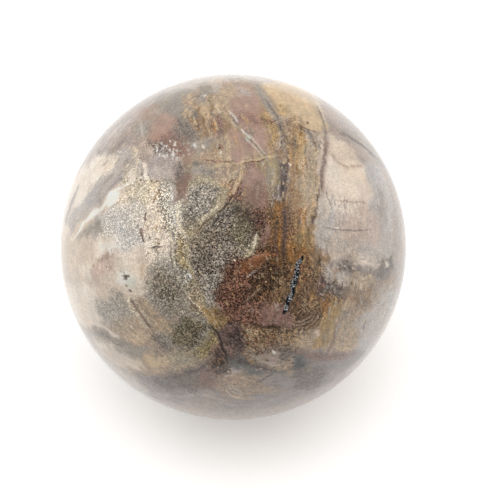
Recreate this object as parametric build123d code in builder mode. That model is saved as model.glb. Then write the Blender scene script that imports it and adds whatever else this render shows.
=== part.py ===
"""Petrified wood sphere: one ball of silicified fossil wood, ground round and polished all over.

The ball is a single solid. Only the stone's own flaws break its polish: a crooked open fissure on the
front, made of three gashes that run into each other, and a cluster of vugs, the small hollows that the
silica never filled. Lengths are in millimetres and angles in degrees. +Z is up, the origin is the
ball's centre, and longitude 0 looks towards -Y.
"""

import os
from collections import namedtuple
from math import atan, degrees, sqrt

from build123d import *

# The ball
BALL_DIAMETER = 70.0
BALL_RADIUS = BALL_DIAMETER / 2

# The fissure: where the middle of its seam lies, which way the seam runs, clockwise from up, and its
# size at the polished surface
FISSURE_LONGITUDE = 21.6
FISSURE_LATITUDE = 31.2
FISSURE_BEARING = 30.0
FISSURE_LENGTH = 11.0
FISSURE_WIDTH = 1.5
FISSURE_DEPTH = 0.9

# A gash of the fissure: its middle along the seam and its length, as shares of the fissure's length,
# its step to the left of the seam, as a share of the fissure's width, and its turn to the left
Gash = namedtuple("Gash", "along_share length_share left_share turn")
GASHES = [
    Gash(along_share=0.24, length_share=0.52, left_share=0.12, turn=-7.0),
    Gash(along_share=0.0, length_share=0.50, left_share=-0.04, turn=5.0),
    Gash(along_share=-0.24, length_share=0.52, left_share=0.05, turn=-5.0),
]

# The vugs: where the widest one lies, its size at the polished surface, the width of its floor, as a
# share of that at the surface, the number of crystal faces round it, and how far the cutters of the
# pits stand out of the stone
VUG_LONGITUDE = -39.6
VUG_LATITUDE = 27.3
VUG_WIDTH = 1.3
VUG_DEPTH = 0.7
VUG_FLOOR_SHARE = 0.4
VUG_SIDES = 6
VUG_OVERRUN = 0.5

# A hollow of the cluster: its steps right and up from the widest, in widths of that one, and its own
# width and depth, as shares of that one's
Hollow = namedtuple("Hollow", "right_share up_share size_share")
HOLLOWS = [
    Hollow(right_share=0.0, up_share=0.0, size_share=1.0),
    Hollow(right_share=0.38, up_share=0.32, size_share=0.60),
    Hollow(right_share=0.59, up_share=-1.08, size_share=0.50),
    Hollow(right_share=1.37, up_share=-1.56, size_share=0.60),
    Hollow(right_share=-0.49, up_share=0.60, size_share=0.35),
    Hollow(right_share=-1.05, up_share=0.32, size_share=0.30),
]


def touching_plane(longitude, latitude, bearing=0.0):
    """The plane that touches the ball at a place: z_dir points out of the stone, x_dir along the bearing."""
    outward = Vector(0, -1, 0).rotate(Axis.X, -latitude).rotate(Axis.Z, longitude)
    upward = Vector(0, 0, 1).rotate(Axis.X, -latitude).rotate(Axis.Z, longitude)
    along = upward.rotate(Axis((0, 0, 0), outward), -bearing)
    return Plane(origin=outward * BALL_RADIUS, x_dir=along, z_dir=outward)


def stepped_plane(start, along, left, turn=0.0):
    """The plane that touches the ball after steps along x_dir and y_dir of another, turned to the left."""
    outward = (start.origin + start.x_dir * along + start.y_dir * left).normalized()
    level = start.x_dir - outward * start.x_dir.dot(outward)
    return Plane(
        origin=outward * BALL_RADIUS,
        x_dir=level.rotate(Axis((0, 0, 0), outward), turn),
        z_dir=outward,
    )


def lens_for(length, width, depth):
    """The lens that leaves a gash of this size in a flat surface, standing on its rim: the radius of its
    rim, half its thickness, and how high its centre stands above the surface."""
    rim_radius = (length**2 / 4 + depth**2) / (2 * depth)
    spread = (length**2 - width**2) / (4 * width)
    half_thickness = sqrt(rim_radius**2 + spread**2) - spread
    return rim_radius, half_thickness, rim_radius - depth


seam = touching_plane(FISSURE_LONGITUDE, FISSURE_LATITUDE, FISSURE_BEARING)
cluster = touching_plane(VUG_LONGITUDE, VUG_LATITUDE)

with BuildPart() as stone_sphere:
    # The ground ball: a half disc turned about the upright axis
    with BuildSketch(Plane.XZ):
        with BuildLine():
            CenterArc((0, 0), BALL_RADIUS, -90, 180)
            Line((0, BALL_RADIUS), (0, -BALL_RADIUS))
        make_face()
    revolve(axis=Axis.Z)

    # The fissure: each gash is cut by a lens that stands on its rim, turned about its own axis
    for gash in GASHES:
        surface = stepped_plane(
            seam, gash.along_share * FISSURE_LENGTH, gash.left_share * FISSURE_WIDTH, gash.turn
        )
        rim_radius, half_thickness, height = lens_for(
            gash.length_share * FISSURE_LENGTH, FISSURE_WIDTH, FISSURE_DEPTH
        )
        lens_plane = surface.offset(height)
        with BuildSketch(lens_plane):
            with BuildLine():
                TangentArc((0, half_thickness), (rim_radius, 0), tangent=(1, 0))
                TangentArc((0, -half_thickness), (rim_radius, 0), tangent=(1, 0))
                Line((0, half_thickness), (0, -half_thickness))
            make_face()
        revolve(axis=Axis(lens_plane.origin, lens_plane.y_dir), mode=Mode.SUBTRACT)

    # The vugs: pits of several sizes, walled by crystal faces that narrow to a small floor
    slope_share = (1 - VUG_FLOOR_SHARE) * VUG_WIDTH / 2 / VUG_DEPTH
    for hollow in HOLLOWS:
        surface = stepped_plane(
            cluster, hollow.up_share * VUG_WIDTH, -hollow.right_share * VUG_WIDTH
        )
        radius = hollow.size_share * VUG_WIDTH / 2
        depth = hollow.size_share * VUG_DEPTH
        with BuildSketch(surface.offset(VUG_OVERRUN)):
            RegularPolygon(radius + VUG_OVERRUN * slope_share, VUG_SIDES, major_radius=False)
        extrude(
            amount=depth + VUG_OVERRUN,
            dir=-surface.z_dir,
            taper=degrees(atan(slope_share)),
            mode=Mode.SUBTRACT,
        )

stone_sphere.part.label = "stone_sphere"

os.makedirs("parts", exist_ok=True)
export_step(stone_sphere.part, "parts/stone_sphere.step")
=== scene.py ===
"""Petrified wood sphere: the looks of a ball of silicified fossil wood, laid out as an add-on.

The ball is one mesh. Its open flaws are cut into the mesh, and the stone's figure is laid on it as marks,
one over the other: broad fields first, then lobes, bands and veins, then cracks and flecks. Each mark is a
field of one mineral, save a few whose colour stands for light: painted glints, and a painted reflection
with its haze. Last, the fissure and the vugs are laid darker the deeper they are, as painted shade. Where a
mark lies is given by places in the 500 by 500 photo, in pixels from its upper left corner, and each place
is carried along the camera's line of sight onto the ball. Its width and the blur of its edge are
millimetres on the stone. Grain and fibre too fine for the mesh come from the stone's material, whose
brightest grains are painted glints.
"""

import itertools
import math
from collections import namedtuple

import bmesh
import bpy
import numpy as np
from bpy.props import FloatProperty, FloatVectorProperty, IntProperty, PointerProperty
from mathutils import Matrix, Vector


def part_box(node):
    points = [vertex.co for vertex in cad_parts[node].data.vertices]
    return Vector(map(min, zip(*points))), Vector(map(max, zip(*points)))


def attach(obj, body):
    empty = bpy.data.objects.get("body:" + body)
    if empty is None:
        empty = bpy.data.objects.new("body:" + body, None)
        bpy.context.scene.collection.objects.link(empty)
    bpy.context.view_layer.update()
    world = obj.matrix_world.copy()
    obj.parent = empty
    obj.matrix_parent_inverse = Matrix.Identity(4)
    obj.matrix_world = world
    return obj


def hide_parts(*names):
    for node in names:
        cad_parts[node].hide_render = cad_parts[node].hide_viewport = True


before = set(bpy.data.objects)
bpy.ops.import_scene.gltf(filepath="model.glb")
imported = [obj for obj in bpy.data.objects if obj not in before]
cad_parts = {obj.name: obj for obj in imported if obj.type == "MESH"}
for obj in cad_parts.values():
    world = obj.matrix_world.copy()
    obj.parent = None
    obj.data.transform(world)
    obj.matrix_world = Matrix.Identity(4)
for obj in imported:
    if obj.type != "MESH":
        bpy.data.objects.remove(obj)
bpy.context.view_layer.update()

bl_info = {
    "name": "Petrified Wood Sphere",
    "version": (1, 0, 0),
    "blender": (4, 5, 0),
    "location": "View3D > Sidebar > Stone",
    "description": "Builds a polished ball of petrified wood with an open crystal fissure, and its stage",
    "category": "Add Mesh",
}

# Units and the frame
MM = 0.001
NODE = "stone_sphere"
BODY = "root"
BOX_LOW, BOX_HIGH = (np.array(corner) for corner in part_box(NODE))
CENTRE = (BOX_LOW + BOX_HIGH) / 2
RADIUS = min(BOX_HIGH - BOX_LOW) / 2
RADIUS_MM = RADIUS / MM

# The photo: its side, and the place and size of the ball in it, in pixels
PHOTO_SIDE = 500
BALL_PIXEL = (233.5, 247.0)
BALL_RADIUS_PIXELS = 173.0

# The camera: how high it looks down from, how far away it stands, in radii of the ball, and its sensor
CAMERA_ELEVATION = math.radians(45)
CAMERA_DISTANCE = 8.0
SENSOR_WIDTH = 36.0

RIGHT = np.array((1.0, 0.0, 0.0))
BACK = np.array((0.0, -math.cos(CAMERA_ELEVATION), math.sin(CAMERA_ELEVATION)))
UP = np.cross(BACK, RIGHT)
FOCAL_PIXELS = BALL_RADIUS_PIXELS * math.sqrt(CAMERA_DISTANCE**2 - 1)
PIXEL_IN_RADII = CAMERA_DISTANCE / FOCAL_PIXELS
EYE = (
    BACK * CAMERA_DISTANCE
    + RIGHT * (PHOTO_SIDE / 2 - BALL_PIXEL[0]) * PIXEL_IN_RADII
    + UP * (BALL_PIXEL[1] - PHOTO_SIDE / 2) * PIXEL_IN_RADII
)

# A mineral of the stone: its colour, how sandy it is and how fibrous, from 0 to 1
Mineral = namedtuple("Mineral", "colour sand fibre")
MINERALS = {
    # White quartz and crystal white are the stone's whites, and also painted glints on the healed crack and
    # in the sparkles
    "white_quartz_and_glint": Mineral("#FFF9EE", 0.03, 0.0),
    "crystal_white_and_glint": Mineral("#F8F5F0", 0.0, 0.0),
    "cream_opal": Mineral("#F1E2D1", 0.1, 0.05),
    "peach_opal": Mineral("#EFDCCB", 0.02, 0.12),
    "beige_opal": Mineral("#DDCCBA", 0.12, 0.1),
    # Pale green is the stone's own, and also a painted glint on the healed crack
    "pale_green_and_glint": Mineral("#E4E4D6", 0.06, 0.05),
    "pale_sand": Mineral("#D7CFC6", 0.4, 0.0),
    "cream_sand": Mineral("#DCCEB7", 0.42, 0.0),
    "pink_sand": Mineral("#EADBCA", 0.36, 0.0),
    "sparkling_sand": Mineral("#B7AC9D", 0.95, 0.0),
    "rim_sand": Mineral("#AB9E85", 0.4, 0.0),
    "gold_sand": Mineral("#A89670", 0.7, 0.0),
    "warm_sand": Mineral("#9D8F7A", 0.65, 0.05),
    "soft_sand": Mineral("#A2998E", 0.45, 0.0),
    "mist_sand": Mineral("#B6ADA2", 0.28, 0.0),
    "grey_sand": Mineral("#968D83", 0.82, 0.0),
    "dark_sand": Mineral("#776C63", 1.0, 0.0),
    "lobe_sand": Mineral("#857B6E", 0.8, 0.0),
    "olive_sand": Mineral("#736957", 0.8, 0.0),
    "mauve_chert": Mineral("#C2B9B3", 0.14, 0.06),
    "taupe_chert": Mineral("#B2A298", 0.14, 0.3),
    "pale_taupe": Mineral("#C4B8AE", 0.15, 0.3),
    "rose_taupe": Mineral("#CFBBAE", 0.12, 0.2),
    "grey_chert": Mineral("#A1978C", 0.15, 0.25),
    "dark_chert": Mineral("#7E736B", 0.35, 0.3),
    "deep_chert": Mineral("#766B63", 0.5, 0.3),
    "slate_chert": Mineral("#6E6D69", 0.2, 0.15),
    "lavender_chert": Mineral("#9F9491", 0.16, 0.25),
    "pale_lilac": Mineral("#B9ACA6", 0.2, 0.2),
    "pink_jasper": Mineral("#AE9183", 0.04, 0.15),
    "pink_opal": Mineral("#CFB5A6", 0.12, 0.1),
    "rose_jasper": Mineral("#9A7B70", 0.24, 0.2),
    "mauve_jasper": Mineral("#8E7266", 0.24, 0.2),
    "plum_jasper": Mineral("#524442", 0.45, 0.3),
    "deep_plum": Mineral("#735F58", 0.5, 0.3),
    "rust_jasper": Mineral("#573D33", 1.0, 0.1),
    "bright_rust": Mineral("#8F5F40", 0.4, 0.4),
    "salmon_jasper": Mineral("#A97B62", 0.2, 0.1),
    "red_brown": Mineral("#7E5D4F", 0.85, 0.2),
    "ochre_fibre": Mineral("#866038", 0.5, 0.7),
    "gold_fibre": Mineral("#AF9268", 0.24, 0.6),
    "golden_tan": Mineral("#D2B896", 0.04, 0.3),
    "tan_chert": Mineral("#AE9883", 0.2, 0.45),
    "pale_tan": Mineral("#BBA68D", 0.22, 0.45),
    "streaked_brown": Mineral("#957A60", 0.2, 0.5),
    "olive_chert": Mineral("#A59473", 0.15, 0.4),
    "yellow_olive": Mineral("#978862", 0.5, 0.1),
    "olive_brown": Mineral("#9D8368", 0.7, 0.4),
    "brown_fibre": Mineral("#795D46", 0.75, 0.5),
    "heart_brown": Mineral("#574232", 1.0, 0.3),
    "dark_brown": Mineral("#4B3A2C", 0.4, 0.3),
    "deep_brown": Mineral("#5E4936", 0.8, 0.5),
    "black_seam": Mineral("#2A2320", 0.1, 0.0),
    # Blue-black and the vugs' grey below also serve as painted shade in the fissure and the vugs
    "blue_black": Mineral("#1B2227", 0.0, 0.0),
    "vug_shade_grey": Mineral("#9C8F89", 0.1, 0.0),
}

# A patch is a field within a closed outline, an oval one within an ellipse, a vein one along a route, and
# strokes are short lines along the fibre, strewn within an outline, of several minerals in turn. Widths,
# lengths and blurs are millimetres on the stone, the sizes of an oval and all places pixels of the photo,
# and an oval's turn degrees to the left
Patch = namedtuple("Patch", "name mineral blur outline")
Oval = namedtuple("Oval", "name mineral blur centre half_width half_height turn", defaults=(0,))
Vein = namedtuple("Vein", "name mineral width blur route")
Strokes = namedtuple("Strokes", "name minerals width blur length count outline")

# Broad fields, which the finer marks lie on
FIELDS = [
    Patch("left limb", "beige_opal", 1.4, [
        (56, 240), (84, 236), (98, 254), (92, 292), (102, 322), (84, 332), (60, 290),
    ]),
    Patch("upper left limb", "taupe_chert", 1.4, [
        (76, 178), (96, 138), (124, 108), (172, 82), (180, 106), (152, 124), (146, 150), (118, 156),
        (100, 150),
    ]),
    Patch("left sand", "pale_sand", 1.2, [
        (100, 212), (126, 188), (166, 176), (182, 205), (176, 262), (140, 256), (104, 240),
    ]),
    Patch("top limb", "pale_taupe", 1.2, [
        (168, 88), (200, 70), (262, 66), (304, 78), (296, 88), (236, 84), (186, 94),
    ]),
    Patch("top grey", "grey_chert", 1.4, [
        (150, 100), (184, 90), (198, 98), (200, 132), (180, 146), (152, 134),
    ]),
    Patch("top tan", "tan_chert", 1.4, [
        (196, 88), (262, 82), (276, 130), (266, 164), (212, 176), (192, 150),
    ]),
    Patch("top gold", "golden_tan", 1.0, [
        (262, 84), (296, 80), (316, 94), (328, 128), (312, 132), (290, 122), (276, 106),
    ]),
    # Painted reflection, in part: the pale fields on the right side, from here to the right taupe, are the
    # stone's pale band with a reflective haze painted into their colour
    Patch("upper right limb", "taupe_chert", 1.2, [
        (310, 88), (352, 110), (398, 178), (392, 196), (374, 172), (358, 154), (346, 140), (328, 134),
    ]),
    Patch("right peach", "peach_opal", 0.8, [
        (329, 150), (350, 152), (363, 164), (370, 192), (364, 212), (334, 210), (327, 184),
    ]),
    Patch("right limb", "taupe_chert", 1.2, [
        (366, 154), (398, 176), (412, 250), (402, 312), (388, 300), (394, 240), (376, 196),
    ]),
    Patch("right grey", "mauve_chert", 1.0, [
        (366, 162), (384, 174), (392, 230), (386, 256), (374, 240), (370, 196),
    ]),
    Patch("right taupe", "rose_taupe", 1.2, [
        (326, 204), (370, 206), (380, 240), (378, 252), (338, 252), (318, 248),
    ]),
    Patch("lower right", "tan_chert", 1.2, [
        (334, 270), (392, 272), (392, 310), (374, 346), (336, 356), (326, 320),
    ]),
    Patch("lower right limb", "pale_taupe", 1.2, [
        (374, 288), (402, 296), (384, 344), (352, 378), (344, 366), (368, 334),
    ]),
    Patch("ochre column", "ochre_fibre", 1.0, [
        (286, 190), (316, 196), (312, 235), (322, 280), (326, 320), (290, 330), (282, 250),
    ]),
    Patch("brown heart", "heart_brown", 1.0, [
        (214, 268), (250, 208), (286, 215), (294, 300), (296, 334), (240, 336), (216, 330),
    ]),
    Patch("lower left sand", "soft_sand", 1.2, [
        (142, 270), (170, 240), (196, 232), (216, 270), (212, 345), (165, 350), (140, 306),
    ]),
    Patch("left beige", "beige_opal", 1.0, [
        (84, 244), (122, 238), (148, 254), (146, 292), (124, 300), (92, 298),
    ]),
    Patch("lower left", "tan_chert", 1.2, [
        (94, 316), (140, 316), (168, 350), (196, 372), (150, 380), (112, 366),
    ]),
    Patch("lower left limb", "pale_taupe", 1.0, [
        (74, 322), (96, 338), (136, 376), (176, 398), (150, 410), (94, 364),
    ]),
    Patch("lower middle", "tan_chert", 1.2, [
        (200, 362), (242, 350), (304, 340), (330, 362), (290, 390), (210, 394),
    ]),
    Patch("bottom", "lavender_chert", 1.2, [
        (136, 376), (200, 378), (222, 392), (290, 388), (350, 360), (324, 394), (250, 410), (180, 408),
    ]),
    Patch("bottom limb", "taupe_chert", 0.9, [
        (150, 396), (210, 408), (290, 402), (340, 376), (300, 418), (230, 434), (160, 416),
    ]),
]

# Upper left: cream on the limb, the mauve band, cream fingers, pink and rust over lilac grey
UPPER_LEFT = [
    Patch("upper limb cream", "cream_opal", 0.7, [
        (92, 161), (106, 155), (116, 158), (112, 167), (100, 177), (88, 188), (82, 200), (79, 200),
        (82, 184),
    ]),
    Patch("upper mauve band", "mauve_chert", 0.7, [
        (124, 150), (133, 158), (128, 178), (112, 192), (96, 210), (72, 232), (68, 222), (84, 198),
        (106, 176), (118, 162),
    ]),
    Vein("lilac edge", "lavender_chert", 0.5, 1.4, [(128, 160), (124, 173), (112, 187), (98, 203)]),
    Oval("pale in the band", "pale_taupe", 1.0, (103, 194), 4, 5, -40),
    Patch("cream above the vein", "beige_opal", 0.6, [
        (128, 180), (132, 186), (122, 194), (118, 206), (108, 208), (112, 194),
    ]),
    Oval("lilac spot", "lavender_chert", 0.9, (123, 142), 7, 4, 20),
    Oval("limb pink", "pink_jasper", 1.2, (148, 112), 7, 6, 30),
    Oval("grey by the limb pink", "grey_chert", 1.2, (162, 101), 8, 5, 20),
    Patch("pink field", "pink_jasper", 1.2, [
        (150, 120), (164, 110), (176, 118), (178, 136), (162, 142), (150, 136),
    ]),
    Patch("grey by the fingers", "taupe_chert", 1.0, [(139, 150), (150, 146), (154, 166), (142, 172)]),
    Patch("beige between the fingers", "pale_taupe", 0.7, [
        (133, 158), (138, 160), (142, 174), (137, 178), (133, 168),
    ]),
    Patch("lilac field", "pale_lilac", 0.9, [
        (147, 160), (160, 152), (180, 156), (178, 174), (160, 180), (148, 174),
    ]),
    Oval("pale in the lilac", "pale_taupe", 0.9, (160, 168), 8, 4, 10),
    Patch("rose field", "rose_jasper", 0.8, [
        (156, 138), (170, 133), (192, 138), (198, 150), (186, 156), (168, 149),
    ]),
    Oval("dark sparkling", "mauve_jasper", 1.0, (170, 144), 9, 5, -10),
    Oval("pale by the rose", "rose_taupe", 0.9, (152, 150), 4, 4),
    Vein("pale streak", "pale_taupe", 0.6, 0.5, [(104, 146), (112, 134), (124, 122)]),
    Vein("second pale streak", "pale_taupe", 0.5, 0.5, [(114, 146), (120, 134), (128, 128)]),
    Patch("cream sand", "cream_sand", 0.6, [
        (125, 166), (134, 168), (141, 180), (148, 178), (160, 180), (162, 192), (150, 206), (136, 200),
        (124, 190),
    ]),
    Patch("orange cream", "pink_sand", 0.6, [(118, 196), (128, 190), (134, 200), (128, 208), (119, 210)]),
    Oval("grey in the cream", "mist_sand", 1.2, (132, 197), 4, 5),
    Vein("cream finger", "cream_sand", 0.8, 0.35, [(133, 146), (137, 155), (136, 166)]),
    Vein("yellow finger", "cream_opal", 1.1, 0.35, [(128, 164), (130, 172), (134, 182)]),
    Vein("pale finger", "cream_opal", 0.7, 0.3, [(143, 162), (146, 171), (145, 180)]),
    Oval("dusk above the flecks", "dark_chert", 0.9, (192, 138), 4, 4),
    Patch("grey at the limb", "grey_chert", 0.8, [
        (133, 124), (142, 121), (148, 128), (144, 136), (135, 134),
    ]),
    Strokes("upper left streaks", ("pale_taupe", "grey_chert"), 0.35, 0.35, 3.0, 26, [
        (98, 160), (112, 128), (150, 100), (176, 104), (152, 132), (146, 160), (116, 176),
    ]),
    Strokes("rose streaks", (
        "white_quartz_and_glint", "plum_jasper", "rose_jasper", "pale_taupe", "crystal_white_and_glint",
    ), 0.2, 0.1, 0.6, 70, [
        (158, 142), (172, 140), (200, 140), (206, 150), (176, 160), (160, 158),
    ]),
]

# Top: grey and rose on the left, golden streaks, pink, and the dark vein down to the middle
TOP = [
    Patch("dark grey", "dark_chert", 1.3, [
        (174, 120), (184, 114), (192, 124), (198, 136), (186, 141), (174, 137),
    ]),
    Patch("gold field", "tan_chert", 1.0, [
        (186, 98), (198, 96), (212, 102), (216, 112), (212, 130), (203, 138), (196, 130), (190, 116),
    ]),
    Patch("brown in the gold", "streaked_brown", 1.0, [
        (196, 120), (208, 116), (211, 130), (204, 138), (197, 131),
    ]),
    Oval("light gold", "golden_tan", 1.2, (211, 105), 5, 4),
    Oval("slate spot", "slate_chert", 0.8, (197, 115), 3.5, 4.5, -30),
    Patch("mauve by the gold", "mauve_jasper", 1.0, [
        (214, 113), (220, 116), (222, 130), (216, 137), (212, 128),
    ]),
    Oval("yellow spot", "pale_taupe", 0.9, (214, 88), 3, 5),
    Patch("grey top", "grey_chert", 1.0, [(198, 84), (209, 84), (212, 98), (204, 104), (198, 96)]),
    Patch("olive top", "pale_tan", 1.3, [(222, 90), (235, 88), (234, 106), (224, 110)]),
    Patch("pink top", "pink_jasper", 1.4, [
        (234, 88), (256, 86), (264, 104), (262, 120), (244, 126), (234, 112),
    ]),
    Oval("pale by the top", "pale_taupe", 1.5, (242, 90), 7, 4),
    Patch("rose band", "rose_jasper", 1.2, [(238, 116), (252, 113), (264, 121), (258, 128), (242, 127)]),
    Patch("tan in the pink", "streaked_brown", 1.2, [(222, 120), (232, 122), (232, 142), (222, 144)]),
    Patch("pink slope", "pink_jasper", 1.2, [(246, 130), (266, 127), (272, 146), (266, 154), (254, 146)]),
    Patch("gold slope", "gold_fibre", 0.9, [
        (258, 102), (266, 108), (277, 124), (280, 140), (272, 152), (266, 136), (260, 118),
    ]),
    Oval("brown on the slope", "red_brown", 1.2, (268, 124), 8, 2.5, -15),
    Patch("pink tan", "pink_jasper", 1.2, [(230, 128), (242, 134), (254, 150), (246, 160), (230, 160)]),
    Patch("olive column", "pale_tan", 1.0, [(222, 140), (231, 141), (232, 178), (223, 180), (220, 160)]),
    Patch("green grey", "grey_chert", 1.0, [(192, 142), (206, 138), (214, 146), (206, 156), (195, 154)]),
    Oval("rose by the grey", "pink_jasper", 1.2, (188, 160), 6, 5),
    Patch("tan field", "tan_chert", 1.0, [(194, 154), (216, 150), (222, 166), (212, 178), (198, 174)]),
    Patch("pink below", "pale_tan", 1.2, [(216, 168), (236, 164), (240, 176), (232, 184), (220, 180)]),
    Oval("slate eye", "slate_chert", 1.0, (200, 162), 5, 3.5),
    Oval("brown ring", "red_brown", 0.35, (220, 148), 2.5, 2.5),
    Oval("pale in the ring", "pale_green_and_glint", 0.2, (221, 152.5), 1, 2),
    Patch("dark grey below", "dark_chert", 1.0, [(176, 163), (186, 165), (187, 178), (178, 180)]),
    Patch("grey over the lobe", "grey_chert", 1.0, [
        (194, 166), (214, 168), (218, 178), (204, 176), (190, 182),
    ]),
    Oval("dusk over the lobe", "dark_chert", 0.9, (212, 176), 4, 4),
    Patch("rose brown", "mauve_jasper", 1.1, [
        (184, 174), (192, 176), (189, 198), (178, 204), (171, 198), (178, 186),
    ]),
    Patch("flame", "red_brown", 0.8, [(226, 184), (239, 178), (242, 196), (234, 206), (224, 200)]),
    Patch("mauve lens", "mauve_jasper", 0.8, [
        (247, 168), (256, 165), (264, 177), (270, 194), (268, 208), (255, 210), (244, 204), (240, 190),
    ]),
    Oval("pink in the lens", "pink_jasper", 1.4, (256, 179), 6, 9),
    Patch("olive grey", "olive_chert", 1.0, [
        (258, 160), (274, 158), (280, 176), (279, 206), (271, 206), (267, 184),
    ]),
    Oval("grey in the olive", "grey_chert", 0.9, (268, 178), 3, 10, -8),
    Patch("dark by the vein", "dark_chert", 0.9, [
        (278, 184), (285, 180), (285, 208), (270, 208), (272, 194),
    ]),
    Vein("flame line", "golden_tan", 0.6, 0.4, [(242, 174), (240, 179), (236, 185), (233, 194)]),
    Vein("left flame line", "gold_fibre", 0.3, 0.25, [(221, 180), (227, 189), (232, 197)]),
    Vein("first vein, top", "grey_chert", 1.9, 0.9, [
        (256, 82), (262, 93), (268, 104), (275, 116), (281, 126),
    ]),
    Vein("first vein, left strand", "dark_chert", 0.5, 0.3, [
        (264, 98), (272, 110), (279, 122), (282, 136), (283, 160),
    ]),
    Vein("first vein", "dark_chert", 1.7, 0.7, [
        (277, 118), (284, 131), (287, 144), (288, 156), (286, 170), (284, 184), (283, 200), (284, 216),
        (284, 240),
    ]),
    Vein("first vein, right strand", "plum_jasper", 0.4, 0.35, [
        (284, 130), (289, 146), (289, 160), (286, 174), (284, 190), (284, 214),
    ]),
    Vein("first vein, low strand", "plum_jasper", 0.4, 0.35, [
        (281, 158), (281, 172), (282, 190), (282, 210),
    ]),
    Oval("brown on the level vein", "streaked_brown", 1.0, (234, 166), 4, 3),
    Oval("grey by the crack", "dark_chert", 0.8, (249, 135), 3, 4),
    Strokes("gold streaks", (
        "golden_tan", "gold_fibre", "dark_chert", "golden_tan", "ochre_fibre",
    ), 0.2, 0.14, 2.6, 70, [
        (184, 94), (214, 98), (218, 134), (205, 142), (186, 118),
    ]),
    Strokes("vein specks", ("black_seam", "olive_chert", "plum_jasper", "golden_tan"), 0.2, 0.1, 0.9, 80, [
        (272, 112), (283, 122), (291, 148), (290, 180), (287, 218), (280, 218), (280, 160),
    ]),
    Strokes("top streaks", ("tan_chert", "rose_jasper", "pale_tan", "gold_fibre"), 0.2, 0.22, 2.4, 50, [
        (218, 96), (256, 88), (280, 150), (270, 190), (222, 180), (200, 150),
    ]),
    Strokes("olive streaks", ("pale_taupe", "dark_chert", "olive_chert"), 0.18, 0.12, 1.4, 36, [
        (258, 160), (280, 156), (282, 204), (272, 206), (266, 180),
    ]),
    Strokes("flame strokes", ("bright_rust", "golden_tan", "dark_brown"), 0.2, 0.1, 0.9, 30, [
        (224, 180), (243, 174), (244, 200), (230, 206),
    ]),
]
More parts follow.
